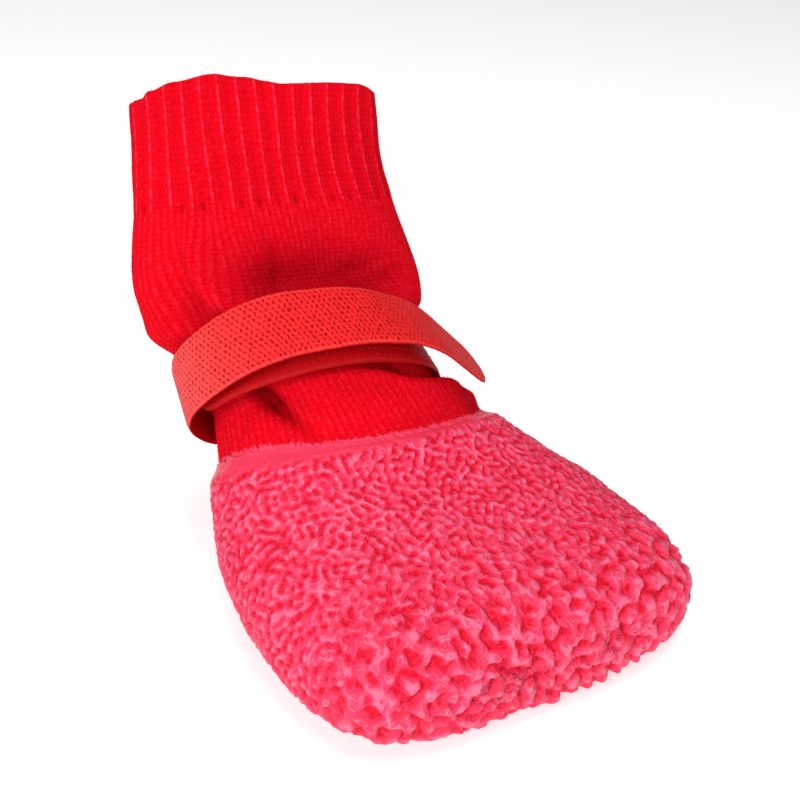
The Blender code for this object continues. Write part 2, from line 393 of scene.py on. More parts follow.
@dataclass(frozen=True)
class SockForm:
    """The shape that every wall follows: a loft through sections from the toe tip to the mouth.

    Attributes:
        sections: The cross-sections in order.
        folds: The soft ovals of slack knit.
        wave: How far the mouth's edge rises, as pairs of an angle and a height.
        wave_power: How soon the wave dies away down the cuff.
        rim_lift: How much further up the skin the dip's edge runs at its highest.
        rim_lift_at: The angle where it does so.
        rim_lift_reach: How far round the lift spreads, in degrees.
        floor: The lowest that the skin goes, which leaves room for the sole.
        ring_steps: How finely a ring is measured, and reach_steps and reach_columns the skin's length.
    """

    sections: tuple[Section, ...] = SECTIONS
    folds: tuple[Fold, ...] = FOLDS
    wave: tuple[tuple[float, float], ...] = MOUTH_WAVE
    wave_power: float = 1.5
    rim_lift: float = 3.4
    rim_lift_at: float = -62.0
    rim_lift_reach: float = 46.0
    floor: float = 1.9
    ring_steps: int = 720
    reach_steps: int = 641
    reach_columns: int = 24

    def station(self, name: str) -> float:
        """The station of a named section."""
        return float([section.name for section in self.sections].index(name))

    def rows(self, stations: Array) -> Array:
        """The section's numbers at each station."""
        return smooth_rows(np.array([section.row() for section in self.sections]), stations)

    def axes(self, rows: Array) -> tuple[Array, Array, Array]:
        """The directions of sections.

        Args:
            rows: Rows of section numbers.

        Returns:
            Unit vectors across towards +X, forward towards the instep, and up along the limb.
        """
        lean, turn = np.radians(rows[..., 3]), np.radians(rows[..., 4])
        zero = np.zeros_like(lean)
        across = np.stack((np.cos(turn), np.sin(turn), zero), -1)
        ahead = np.stack((np.sin(turn), -np.cos(turn), zero), -1)
        rise = np.stack((zero, zero, np.sin(lean)), -1)
        forward = ahead * np.cos(lean)[..., None] + rise
        return across, forward, np.cross(across, -forward)

    def plain(self, stations: Array, angles: Array) -> Array:
        """Points on the form without folds.

        Args:
            stations: Places along the limb, in sections.
            angles: Places round it in radians, 0 at the front and growing towards +X.

        Returns:
            The points.
        """
        rows = self.rows(stations)
        across, forward, _ = self.axes(rows)
        power = 2 / rows[..., 8]
        side = signed_power(np.sin(angles), power) * rows[..., 5]
        share = signed_power(np.cos(angles), power)
        depth = share * np.where(share > 0, rows[..., 6], rows[..., 7])
        points = rows[..., :3] + across * side[..., None] + forward * depth[..., None]
        points[..., 2] = np.maximum(points[..., 2], self.floor)
        return points

    def sink(self, stations: Array, angles: Array) -> Array:
        """How far the slack folds draw the knit in."""
        total = np.zeros(np.broadcast(stations, angles).shape)
        for fold in self.folds:
            up = stations - fold.station
            turn = wrapped(np.degrees(angles) - fold.around - fold.slant * up)
            reach = np.minimum(np.hypot(up / fold.along, turn / fold.wide), 1)
            total += fold.sink * (1 + np.cos(np.pi * reach)) / 2
        return total

    def rise(self, angles: Array) -> Array:
        """How far the mouth edge rises round the sock."""
        degrees = (np.degrees(angles) + 90) % 360 - 90
        total = np.zeros_like(degrees)
        for (start, low), (end, high) in zip(self.wave, self.wave[1:]):
            share = (1 - np.cos(np.pi * np.clip((degrees - start) / (end - start), 0, 1))) / 2
            inside = (degrees >= start) & (degrees <= end)
            total = np.where(inside, low + (high - low) * share, total)
        return total

    def knit(self, stations: Array, angles: Array) -> Array:
        """Points on the knit's outer face: the form with its folds and the wave of its mouth.

        Args:
            stations: Places along the limb, in sections.
            angles: Places round it in radians.

        Returns:
            The points.
        """
        rows = self.rows(stations)
        _, _, up = self.axes(rows)
        points = self.plain(stations, angles)
        outwards = unit(points - rows[..., :3])
        points = points - outwards * self.sink(stations, angles)[..., None]
        foot, mouth = self.station("rib_foot"), self.station("mouth")
        share = np.clip((stations - foot) / (mouth - foot), 0, None) ** self.wave_power
        return points + up * (self.rise(angles) * share)[..., None]

    def rim_rise(self, angles: Array) -> Array:
        """How much further up the skin the dip's edge runs on the left, in millimetres."""
        return self.rim_lift * bell(wrapped(np.degrees(angles) - self.rim_lift_at), self.rim_lift_reach)

    def reach(self, first: float, last: float) -> tuple[Array, Array]:
        """Measures the limb's skin along its length.

        Args:
            first: The station where the measure starts.
            last: The station where it ends.

        Returns:
            Fine stations, and the mean distance along the skin from the first to each.
        """
        stations = np.linspace(first, last, self.reach_steps)
        angles = np.linspace(0, 2 * np.pi, self.reach_columns, endpoint=False)
        points = self.plain(stations[:, None], angles[None, :])
        steps = lengths(np.diff(points, axis=0)).mean(axis=1)
        return stations, running(steps)

    def even_angles(self, stations: Array, columns: int, weight: Weight) -> Array:
        """Triple that share each ring out into columns, the first at the front.

        Args:
            stations: The stations of the rings.
            columns: How many columns go round.
            weight: How closely the columns stand on the sole.

        Returns:
            One row of angles in radians for each station.
        """
        fine = np.linspace(0, 2 * np.pi, self.ring_steps + 1)
        points = self.plain(stations[:, None], fine[None, :])
        middle = (fine[1:] + fine[:-1]) / 2
        share = weight.value + (1 - weight.value) * (1 + np.cos(middle)) / 2
        run = np.cumsum(lengths(np.diff(points, axis=1)) * share, axis=1)
        run = np.concatenate((np.zeros((len(stations), 1)), run), axis=1)
        wanted = np.arange(columns) / columns
        return np.array([np.interp(wanted * row[-1], row, fine) for row in run])


def grid_normals(points: Array) -> Array:
    """Outward directions of rows of points that close round.

    Args:
        points: Points by row and column.

    Returns:
        A unit vector for each point.
    """
    round_way = np.roll(points, -1, axis=1) - np.roll(points, 1, axis=1)
    long_way = np.gradient(points, axis=0)
    return unit(np.cross(round_way, long_way))


def add_object(name: str, data: bpy.types.ID) -> Piece:
    """Makes an object and links it to the scene."""
    item = bpy.data.objects.new(name, data)
    bpy.context.scene.collection.objects.link(item)
    return item


@dataclass
class TubeMesh:
    """Rows of points that close round, made into one mesh.

    Attributes:
        points: Points by row and column, in millimetres.
        along: The pattern's coordinate along each row's place.
        turns: The pattern's coordinate once round.
        values: Numbers by row and column, kept as attributes of the points.
    """

    points: Array
    along: Array
    turns: float
    values: dict[str, Array] = field(default_factory=dict)

    def build(self, name: str) -> Piece:
        """Makes the mesh, closed by a fan at each end, with its uv map and attributes.

        Args:
            name: The name of the piece.

        Returns:
            The piece, at the origin and in metres.
        """
        rows, columns = self.points.shape[:2]
        count = rows * columns
        poles = np.array((self.points[0].mean(axis=0), self.points[-1].mean(axis=0)))
        places = np.concatenate((self.points.reshape(-1, 3), poles)) * MM
        row = np.arange(rows - 1)[:, None]
        step = np.arange(columns)[None, :]
        after = (step + 1) % columns
        lower, upper = row * columns, (row + 1) * columns
        quads = np.stack((lower + step, lower + after, upper + after, upper + step), -1)
        ring, next_ring = step[0], after[0]
        top = (rows - 1) * columns
        start_fan = np.stack((next_ring, ring, np.full(columns, count)), -1)
        end_fan = np.stack((top + ring, top + next_ring, np.full(columns, count + 1)), -1)
        mesh = bpy.data.meshes.new(name)
        faces = quads.reshape(-1, 4).tolist() + start_fan.tolist() + end_fan.tolist()
        mesh.from_pydata(places.tolist(), [], faces)
        mesh.polygons.foreach_set("use_smooth", np.ones(len(mesh.polygons), bool))
        self._add_uv(mesh, columns)
        for label, value in self.values.items():
            attribute = mesh.attributes.new(label, "FLOAT", "POINT")
            flat = np.concatenate((value.ravel(), (value[0].mean(), value[-1].mean())))
            attribute.data.foreach_set("value", flat.astype(np.float32))
        return add_object(name, mesh)

    def _add_uv(self, mesh: bpy.types.Mesh, columns: int) -> None:
        """Adds the map, whose first number runs round the piece and whose second runs along it.

        Args:
            mesh: The mesh.
            columns: How many columns it has.
        """
        turn = np.arange(columns)[None, :] / columns * self.turns
        step = self.turns / columns
        low = np.repeat(self.along[:-1, None], columns, axis=1)
        high = np.repeat(self.along[1:, None], columns, axis=1)
        turn = np.repeat(turn, len(low), axis=0)
        corners = ((turn, low), (turn + step, low), (turn + step, high), (turn, high))
        quads = np.stack([np.stack(pair, -1) for pair in corners], axis=2).reshape(-1, 2)
        fans = []
        for place in (self.along[0], self.along[-1]):
            fan = np.zeros((columns, 3, 2))
            fan[..., 0] = turn[0][:, None] + step / 2
            fan[..., 1] = place
            fans.append(fan.reshape(-1, 2))
        layer = mesh.uv_layers.new(name="skin")
        layer.uv.foreach_set("vector", np.concatenate((quads, *fans)).ravel().astype(np.float32))


class Tree:
    """A node tree that is built in the script, for a material, a group or a modifier."""

    def __init__(self, tree: NodeTree) -> None:
        """Keeps the tree."""
        self.tree = tree

    def add(self, kind: str, inputs: dict[Any, Any] | None = None, **settings: Any) -> bpy.types.Node:
        """Adds one node.

        Args:
            kind: The node's type.
            inputs: Values or sockets for its inputs, by name or number.
            settings: The node's own settings.

        Returns:
            The node.
        """
        node = self.tree.nodes.new(kind)
        for label, setting in settings.items():
            setattr(node, label, setting)
        for label, value in (inputs or {}).items():
            self.feed(node.inputs[label], value)
        return node

    def feed(self, socket: Socket, value: Any) -> None:
        """Links a socket to another one, or gives it a value."""
        if isinstance(value, bpy.types.NodeSocket):
            self.tree.links.new(value, socket)
        else:
            socket.default_value = value

    def math(self, operation: str, *values: Any, clamp: bool = False) -> Socket:
        """One sum on numbers.

        Args:
            operation: The sum's name.
            values: Numbers or sockets.
            clamp: Whether the result is held from 0 to 1.

        Returns:
            The result's socket.
        """
        inputs = dict(enumerate(values))
        return self.add("ShaderNodeMath", inputs, operation=operation, use_clamp=clamp).outputs[0]

    def plus(self, first: Any, second: Any) -> Socket:
        """The sum of two numbers."""
        return self.math("ADD", first, second)

    def minus(self, first: Any, second: Any) -> Socket:
        """The first number less the second."""
        return self.math("SUBTRACT", first, second)

    def times(self, first: Any, second: Any) -> Socket:
        """The product of two numbers."""
        return self.math("MULTIPLY", first, second)

    def size(self, value: Any) -> Socket:
        """A number without its sign."""
        return self.math("ABSOLUTE", value)

    def within(self, value: Any) -> Socket:
        """Where a number lies between two whole ones, from -0.5 to 0.5."""
        return self.minus(self.math("FRACT", value), 0.5)

    def vector(self, operation: str, first: Any, second: Any) -> Socket:
        """One sum on vectors.

        Args:
            operation: The sum's name.
            first: A vector or socket.
            second: Another one, or the number to scale by.

        Returns:
            The result's socket.
        """
        other = "Scale" if operation == "SCALE" else 1
        return self.add("ShaderNodeVectorMath", {0: first, other: second}, operation=operation).outputs[0]

    def shifted(self, place: Any, drift: Any, amount: Any) -> Socket:
        """A place, moved by a noise's colour times an amount."""
        return self.vector("ADD", place, self.vector("SCALE", self.vector("SUBTRACT", drift, MID_GREY), amount))

    def cloud(self, place: Any, scale: Any, detail: float, **more: float) -> Any:
        """The outputs of a noise texture.

        Args:
            place: Where it is read.
            scale: How fine it is.
            detail: How many finer layers it has.
            more: Values for its other inputs.

        Returns:
            Its outputs, Fac and Color.
        """
        inputs = {"Vector": place, "Scale": scale, "Detail": detail, **more}
        return self.add("ShaderNodeTexNoise", inputs).outputs

    def attribute(self, name: str) -> Socket:
        """One of the numbers that a mesh keeps at its points."""
        return self.add("ShaderNodeAttribute", attribute_name=name).outputs["Fac"]

    def group(self, group: NodeTree, **inputs: Any) -> Any:
        """Places a shader group, and gives its outputs."""
        return self.add("ShaderNodeGroup", inputs, node_tree=group).outputs

    def ramp(self, value: Any, low: float, high: float, start: float = 0.0, end: float = 1.0) -> Socket:
        """Turns a value from one range into another, softly.

        Args:
            value: The value or socket.
            low: Where the first range starts.
            high: Where it ends.
            start: Where the second range starts.
            end: Where it ends.

        Returns:
            The result's socket.
        """
        inputs = {"Value": value, "From Min": low, "From Max": high, "To Min": start, "To Max": end}
        return self.add("ShaderNodeMapRange", inputs, interpolation_type="SMOOTHSTEP").outputs[0]

    def blend(self, share: Any, start: Any, end: Any) -> Socket:
        """A number between two, softly, by a share from 0 to 1."""
        return self.ramp(share, 0.0, 1.0, start, end)

    def mix(self, factor: Any, first: Any, second: Any) -> Socket:
        """A colour between two.

        Args:
            factor: How much of the second.
            first: A colour or socket.
            second: A colour or socket.

        Returns:
            The mixed colour's socket.
        """
        node = self.add("ShaderNodeMix", data_type="RGBA")
        for label, value in (("Factor_Float", factor), ("A_Color", first), ("B_Color", second)):
            socket = next(item for item in node.inputs if item.identifier == label)
            self.feed(socket, value)
        return next(item for item in node.outputs if item.identifier == "Result_Color")


def start_group(
    name: str, kind: str, inputs: dict[str, float | Kind], outputs: dict[str, Kind]
) -> tuple[Tree, Any, Any]:
    """Starts a group of nodes.

    Args:
        name: The group's name.
        kind: The type of its tree.
        inputs: For each input a number to start from, or the kind of a socket that has none.
        outputs: The kind of each output.

    Returns:
        The tree, its input node's outputs and its output node's inputs.
    """
    group = bpy.data.node_groups.new(name, kind)
    for label, value in inputs.items():
        number = Kind.WHOLE if isinstance(value, int) else Kind.NUMBER
        sort = value if isinstance(value, Kind) else number
        socket = group.interface.new_socket(label, in_out="INPUT", socket_type=sort.value)
        if sort is not value:
            socket.default_value = value
    for label, sort in outputs.items():
        group.interface.new_socket(label, in_out="OUTPUT", socket_type=sort.value)
    tree = Tree(group)
    return tree, tree.add("NodeGroupInput").outputs, tree.add("NodeGroupOutput").inputs


def colour(red: int, green: int, blue: int) -> tuple[float, float, float, float]:
    """A shader colour from the numbers of a paint chart.

    Args:
        red: Red from 0 to 255.
        green: Green from 0 to 255.
        blue: Blue from 0 to 255.

    Returns:
        The colour in linear light.
    """
    parts = [part / 255 for part in (red, green, blue)]
    linear = [part / 12.92 if part <= 0.04045 else ((part + 0.055) / 1.055) ** 2.4 for part in parts]
    return (*linear, 1.0)


class Effects:
    """Shader groups that more than one finish uses, or that keep a pattern apart, each made once."""

    def __init__(self) -> None:
        """Builds every group."""
        self.drift = self._drift()
        self.fibre = self._fibre()
        self.stitch = self._stitch()
        self.slits = self._slits()
        self.crinkle = self._crinkle()

    def _group(self, name: str, inputs: dict[str, float | Kind], *outputs: str) -> tuple[Tree, Any, Any]:
        """Starts a shader group that puts out numbers."""
        return start_group(name, "ShaderNodeTree", inputs, dict.fromkeys(outputs, Kind.NUMBER))

    def _drift(self) -> NodeTree:
        """Slow, cloudy change of tone over a surface."""
        tree, given, result = self._group("tone_drift", {"Place": Kind.VECTOR, "Scale": 60.0}, "Tone")
        cloud = tree.cloud(given["Place"], given["Scale"], 2.0)
        tree.feed(result["Tone"], tree.ramp(cloud["Fac"], 0.35, 0.65))
        return tree.tree

    def _fibre(self) -> NodeTree:
        """Fine fibres of yarn: a height, a mask of the hairs that the finishes paint lighter as painted
        highlight, and a mask of broken clumps.
        """
        inputs = {"Place": Kind.VECTOR, "Scale": 2600.0, "Clump": 950.0}
        tree, given, result = self._group("yarn_fibre", inputs, "Height", "Hair", "Clump")
        fibres = tree.cloud(given["Place"], given["Scale"], 3.0, Roughness=0.7, Distortion=1.2)
        clumps = tree.cloud(given["Place"], given["Clump"], 2.0)
        tree.feed(result["Height"], fibres["Fac"])
        tree.feed(result["Hair"], tree.ramp(fibres["Fac"], 0.56, 0.72))
        tree.feed(result["Clump"], tree.ramp(clumps["Fac"], 0.44, 0.6))
        return tree.tree

    def _stitch(self) -> NodeTree:
        """Columns of knitted loops: each loop is a V of two slanted strands, and the gaps between them are
        masked for painted shade.
        """
        inputs = {"Map": Kind.VECTOR, "Slant": 0.9, "Gap": 0.16, "Strand At": 0.26, "Strand Narrowness": 3.4}
        tree, given, result = self._group("knit_stitch", inputs, "Height", "Gap")
        split = tree.add("ShaderNodeSeparateXYZ", {0: given["Map"]})
        wale, course = split.outputs[0], split.outputs[1]
        side = tree.size(tree.within(wale))
        strand = tree.size(tree.within(tree.minus(course, tree.times(side, given["Slant"]))))
        thick = tree.minus(1.0, tree.math("POWER", tree.times(strand, 2.0), 2.0))
        width = tree.times(tree.size(tree.minus(side, given["Strand At"])), given["Strand Narrowness"])
        across = tree.math("SUBTRACT", 1.0, tree.math("POWER", width, 2.0), clamp=True)
        tree.feed(result["Height"], tree.times(thick, across))
        open_course = tree.times(tree.ramp(thick, 0.0, 0.5, 1.0, 0.0), 0.6)
        open_wale = tree.ramp(side, tree.minus(0.5, given["Gap"]), 0.5)
        tree.feed(result["Gap"], tree.math("MAXIMUM", open_course, open_wale))
        return tree.tree

    def _crinkle(self) -> NodeTree:
        """Fine crinkle of dipped rubber: soft winding ridges, where bent noise passes its middle, which bump
        the latex and lighten it as painted highlight.
        """
        inputs = {"Place": Kind.VECTOR, "Scale": 400.0, "Bend": 280.0, "Warp": 0.0036, "Width": 0.15}
        tree, given, result = self._group("latex_crinkle", inputs, "Ridge")
        bend = tree.cloud(given["Place"], given["Bend"], 1.0)
        place = tree.shifted(given["Place"], bend["Color"], given["Warp"])
        layers = []
        for fineness, strength in ((1.0, 1.0), (1.8, 0.8)):
            cloud = tree.cloud(place, tree.times(given["Scale"], fineness), 0.0)
            away = tree.size(tree.minus(cloud["Fac"], 0.5))
            layers.append(tree.times(tree.ramp(away, 0.0, given["Width"], 1.0, 0.0), strength))
        tree.feed(result["Ridge"], tree.math("MAXIMUM", *layers))
        return tree.tree

    def _slits(self) -> NodeTree:
        """Staggered, uneven rows of short slits on a map in millimetres, masked for painted shade, and the
        knots between, masked for painted highlight.
        """
        slit = {"Long": 0.155, "Deep": 0.36, "Slant": 0.3}
        inputs = {"Map": Kind.VECTOR, "Pitch": 1.1, "Row": 1.06, "Wobble": 1.0, **slit}
        tree, given, result = self._group("tape_slits", inputs, "Slit", "Knot")
        cloud = tree.cloud(given["Map"], 1.7, 1.0)
        place = tree.shifted(given["Map"], cloud["Color"], given["Wobble"])
        split = tree.add("ShaderNodeSeparateXYZ", {0: place})
        row = tree.math("DIVIDE", split.outputs[0], given["Row"])
        odd = tree.times(tree.math("FLOOR", row), 0.5)
        down = tree.within(row)
        side = tree.within(tree.plus(tree.math("DIVIDE", split.outputs[1], given["Pitch"]), odd))
        slanted = tree.plus(side, tree.times(down, given["Slant"]))
        parts = [
            tree.math("POWER", tree.math("DIVIDE", tree.size(away), given[half]), 2.0)
            for away, half in ((slanted, "Long"), (down, "Deep"))
        ]
        reach = tree.plus(*parts)
        size = tree.ramp(cloud["Fac"], 0.3, 0.7, 0.7, 1.5)
        tree.feed(result["Slit"], tree.ramp(reach, tree.times(size, 0.35), size, 1.0, 0.0))
        tree.feed(result["Knot"], tree.ramp(reach, 1.6, 3.2))
        return tree.tree


def start_scatter(name: str, sizes: dict[str, float], seed: int) -> tuple[Tree, Any, Any]:
    """Starts a geometry tree that scatters something on a host mesh.

    Args:
        name: The tree's name.
        sizes: Its named sizes, with their first values.
        seed: Its first seed.

    Returns:
        The tree, its input node's outputs and its output node's inputs.
    """
    inputs = {"Host": Kind.MESH, **sizes, "Seed": seed, "Finish": Kind.MATERIAL}
    return start_group(name, "GeometryNodeTree", inputs, {"Made": Kind.MESH})


def round_wire(tree: Tree, path: Socket, sides: int, radius: Any) -> Socket:
    """A mesh with a round section along a path.

    Args:
        tree: The geometry tree.
        path: The path.
        sides: How many sides the section has.
        radius: The section's radius, or its socket.

    Returns:
        The mesh's socket.
    """
    ring = tree.add("GeometryNodeCurvePrimitiveCircle", {"Resolution": sides, "Radius": radius}, mode="RADIUS")
    inputs = {"Curve": path, "Profile Curve": ring.outputs[0]}
    return tree.add("GeometryNodeCurveToMesh", inputs).outputs[0]


def random_turn(tree: Tree, rotation: Socket, reach: tuple[Triple, Triple], seed: Any = 0) -> Socket:
    """Turns each point's rotation about its own axes by a random amount.

    Args:
        tree: The geometry tree.
        rotation: The rotation before.
        reach: The least and the most turn about each axis, in radians.
        seed: The seed, or its socket.

    Returns:
        The rotation's socket.
    """
    inputs = {"Min": reach[0], "Max": reach[1], "Seed": seed}
    amount = tree.add("FunctionNodeRandomValue", inputs, data_type="FLOAT_VECTOR").outputs["Value"]
    turn = tree.add("FunctionNodeEulerToRotation", {"Euler": amount}).outputs[0]
    inputs = {"Rotation": rotation, "Rotate By": turn}
    return tree.add("FunctionNodeRotateRotation", inputs, rotation_space="LOCAL").outputs[0]


def end_tree(tree: Tree, placed: dict[str, Any], given: Any, made: Any) -> NodeTree:
    """Ends a geometry tree: instances on points, made real, in the given finish.

    Args:
        tree: The geometry tree.
        placed: The instances' inputs by name.
        given: The outputs of the tree's input node.
        made: The inputs of its output node.

    Returns:
        The finished node tree.
    """
    instances = tree.add("GeometryNodeInstanceOnPoints", placed)
    real = tree.add("GeometryNodeRealizeInstances", {"Geometry": instances.outputs[0]})
    done = tree.add("GeometryNodeSetMaterial", {"Geometry": real.outputs[0], "Material": given["Finish"]})
    tree.feed(made[0], done.outputs[0])
    return tree.tree


def run_tree(
    tree: NodeTree, host: bpy.types.Mesh, name: str, inputs: dict[str, Any]
) -> Piece:
    """Runs a geometry tree on a copy of a mesh and keeps the result as a plain mesh.

    Args:
        tree: The geometry tree.
        host: The mesh it works on.
        name: The name of the piece it makes.
        inputs: Values for the tree's named inputs.

    Returns:
        The piece, with no modifier on it.
    """
    holder = add_object(name + "_host", host.copy())
    modifier = holder.modifiers.new("nodes", "NODES")
    modifier.node_group = tree
    for item in tree.interface.items_tree:
        if item.item_type == "SOCKET" and item.in_out == "INPUT" and item.name in inputs:
            modifier[item.identifier] = inputs[item.name]
    bpy.context.view_layer.update()
    graph = bpy.context.evaluated_depsgraph_get()
    mesh = bpy.data.meshes.new_from_object(holder.evaluated_get(graph), depsgraph=graph)
    bpy.data.objects.remove(holder, do_unlink=True)
    mesh.name = name
    return add_object(name, mesh)


class Surface(Tree):
    """A material's tree, with its one shader."""

    def __init__(self, name: str, roughness: float, specular: float) -> None:
        """Starts the material with its shader's own constants.

        Args:
            name: The material's name.
            roughness: How rough it is where nothing changes that.
            specular: The level of its mirror reflection.
        """
        self.material = bpy.data.materials.new(name)
        self.material.use_nodes = True
        super().__init__(self.material.node_tree)
        self.shader = self.tree.nodes["Principled BSDF"]
        self.set("Roughness", roughness)
        self.set("Specular IOR Level", specular)

    def set(self, label: str, value: Any) -> None:
        """Gives one of the shader's inputs a constant, or links a socket to it."""
        self.feed(self.shader.inputs[label], value)

    def sheen(self, weight: float, roughness: float, tint: Paint) -> None:
        """Gives the shader the soft sheen of brushed yarn."""
        self.set("Sheen Weight", weight)
        self.set("Sheen Roughness", roughness)
        self.set("Sheen Tint", tint)

    def place(self) -> Socket:
        """A point's place in the piece, in metres."""
        return self.add("ShaderNodeTexCoord").outputs["Object"]

    def skin(self) -> Socket:
        """A point's place on the piece's map."""
        return self.add("ShaderNodeUVMap", uv_map="skin").outputs["UV"]

    def bump(self, height: Socket, distance: float) -> None:
        """Bends the shader's normals by a height, over a distance in metres."""
        inputs = {"Height": height, "Distance": distance, "Strength": BUMP_STRENGTH}
        self.set("Normal", self.add("ShaderNodeBump", inputs).outputs[0])


@dataclass(frozen=True)
class KnitFinish:
    """Brushed polyester yarn in stocking stitch and rib, with latex soaked in at the dip's edge.

    Each shade is the most that its effect mixes into the colour, from 0 to 1.

    Attributes:
        crest_least: How much of a rib crest's painted highlight stays between its clumps of fibre.
        painted_shade_dim: How much the painted shade takes from the painted highlights.
        tooth: How far the soaked edge wanders, in millimetres.
        tooth_scale: How closely its teeth follow the wales and the courses.
        soak_past: Where past the middle of the teeth the soaked edge starts and ends.
    """

    effects: Effects
    face: Paint = colour(236, 0, 19)
    # deep is the colour of the painted shade and of the darker drift in tone; light is the colour of the
    # painted highlights.
    deep: Paint = colour(120, 0, 2)
    light: Paint = colour(255, 78, 122)
    soaked: Paint = colour(250, 78, 108)
    sheen_tint: Paint = colour(255, 90, 110)
    roughness: float = 0.9
    specular: float = 0.02
    sheen: float = 0.015
    sheen_roughness: float = 0.5
    bump: float = 0.00014
    fibre_height: float = 0.6
    gap_shade: float = 0.1
    drift_shade: float = 0.1
    hair_highlight_share: float = 0.28
    wale_highlight_share: float = 0.04
    crest_highlight_share: float = 0.44
    crest_least: float = 0.3
    painted_shade_dim: float = 0.8
    tooth: float = 2.6
    tooth_scale: Triple = (2.375, 0.9, 1.0)
    soak_past: tuple[float, float] = (0.35, 0.8)

    def material(self) -> Material:
        """The knit's material."""
        tree = Surface("knitted_yarn", self.roughness, self.specular)
        tree.sheen(self.sheen, self.sheen_roughness, self.sheen_tint)
        place, skin = tree.place(), tree.skin()
        painted_shade = tree.attribute("painted_shade")
        stitch = tree.group(self.effects.stitch, Map=skin)
        fibre = tree.group(self.effects.fibre, Place=place)
        drift = tree.group(self.effects.drift, Place=place)
        # Painted shade: the gaps between stitches and the shade mask darken the yarn towards deep.
        gap = tree.times(stitch["Gap"], self.gap_shade)
        base = tree.mix(tree.math("MAXIMUM", gap, painted_shade, clamp=True), self.face, self.deep)
        base = tree.mix(tree.times(drift["Tone"], self.drift_shade), base, self.deep)
        # Painted highlight: rib crests, loose hairs and raised strands are mixed towards light, less under the
        # painted shade.
        broken = tree.blend(fibre["Clump"], self.crest_least, 1.0)
        crest = tree.times(tree.times(tree.attribute("rib"), broken), self.crest_highlight_share)
        hair = tree.times(fibre["Hair"], self.hair_highlight_share)
        wale = tree.times(stitch["Height"], self.wale_highlight_share)
        lit = tree.math("MAXIMUM", tree.plus(hair, wale), crest, clamp=True)
        dim = tree.minus(1.0, tree.times(painted_shade, self.painted_shade_dim))
        base = tree.mix(tree.times(lit, dim), base, self.light)
        teeth = tree.cloud(tree.vector("MULTIPLY", skin, self.tooth_scale), 1.0, 2.0)
        level = tree.plus(tree.attribute("rim"), tree.times(teeth["Fac"], self.tooth))
        start, end = (0.5 * self.tooth + past for past in self.soak_past)
        tree.set("Base Color", tree.mix(tree.ramp(level, start, end, 1.0, 0.0), base, self.soaked))
        tree.bump(tree.plus(stitch["Height"], tree.times(fibre["Height"], self.fibre_height)), self.bump)
        return tree.material


@dataclass(frozen=True)
class LatexFinish:
    """Crinkle-dipped latex: satin ridges painted lighter as painted highlight over valleys painted deeper red
    as painted shade, and a smooth band at the rim.

    Attributes:
        ridge_share: How much of the colour's level comes from the modelled ridges.
        line_share: How much comes from the fine lines between them, which lighten as painted highlight.
        slope_at: The levels between which a valley turns into a slope.
        ridge_at: The levels between which a slope turns into a ridge.
        grain: How fine the grain is, per metre.
        streak_scale: How the band's streaks are drawn out round the rim.
    """

    effects: Effects
    # ridge is the colour of the painted highlight, valley the colour of the painted shade, and slope the
    # latex's own red between them.
    ridge: Paint = colour(255, 114, 150)
    slope: Paint = colour(252, 55, 97)
    valley: Paint = colour(226, 0, 42)
    band: Paint = colour(251, 66, 100)
    roughness: float = 0.42
    valley_roughness: float = 0.62
    ridge_roughness: float = 0.4
    band_roughness: float = 0.24
    specular: float = 0.24
    fine_scale: float = 620.0
    toe_scale: float = 430.0
    ridge_share: float = 0.72
    line_share: float = 0.3
    slope_at: tuple[float, float] = (0.1, 0.5)
    ridge_at: tuple[float, float] = (0.6, 1.0)
    drift_shade: float = 0.1
    bump: float = 0.00018
    grain: float = 1500.0
    grain_height: float = 0.2
    streak_scale: Triple = (2.2, 0.25, 1.0)
    streak_height: float = 1.4

    def material(self) -> Material:
        """The latex's material."""
        tree = Surface("crinkled_latex", self.roughness, self.specular)
        place, band = tree.place(), tree.attribute("band")
        scale = tree.blend(tree.attribute("toe"), self.fine_scale, self.toe_scale)
        crinkle = tree.group(self.effects.crinkle, Place=place, Scale=scale)
        drift = tree.group(self.effects.drift, Place=place)
        # The level lightens the modelled ridges and the fine lines as painted highlight and darkens the valleys
        # as painted shade.
        ridge = tree.times(tree.attribute("ridge"), self.ridge_share)
        lines = tree.times(crinkle["Ridge"], tree.minus(1.0, band))
        level = tree.plus(ridge, tree.times(lines, self.line_share))
        base = tree.mix(tree.ramp(level, *self.slope_at), self.valley, self.slope)
        base = tree.mix(tree.ramp(level, *self.ridge_at), base, self.ridge)
        base = tree.mix(tree.times(drift["Tone"], self.drift_shade), base, self.valley)
        tree.set("Base Color", tree.mix(band, base, self.band))
        rough = tree.blend(level, self.valley_roughness, self.ridge_roughness)
        tree.set("Roughness", tree.blend(band, rough, self.band_roughness))
        grain = tree.times(tree.cloud(place, self.grain, 2.0)["Fac"], self.grain_height)
        drawn = tree.vector("MULTIPLY", tree.skin(), self.streak_scale)
        streak = tree.times(tree.times(tree.cloud(drawn, 1.0, 1.0)["Fac"], band), self.streak_height)
        tree.bump(tree.plus(tree.plus(lines, grain), streak), self.bump)
        return tree.material


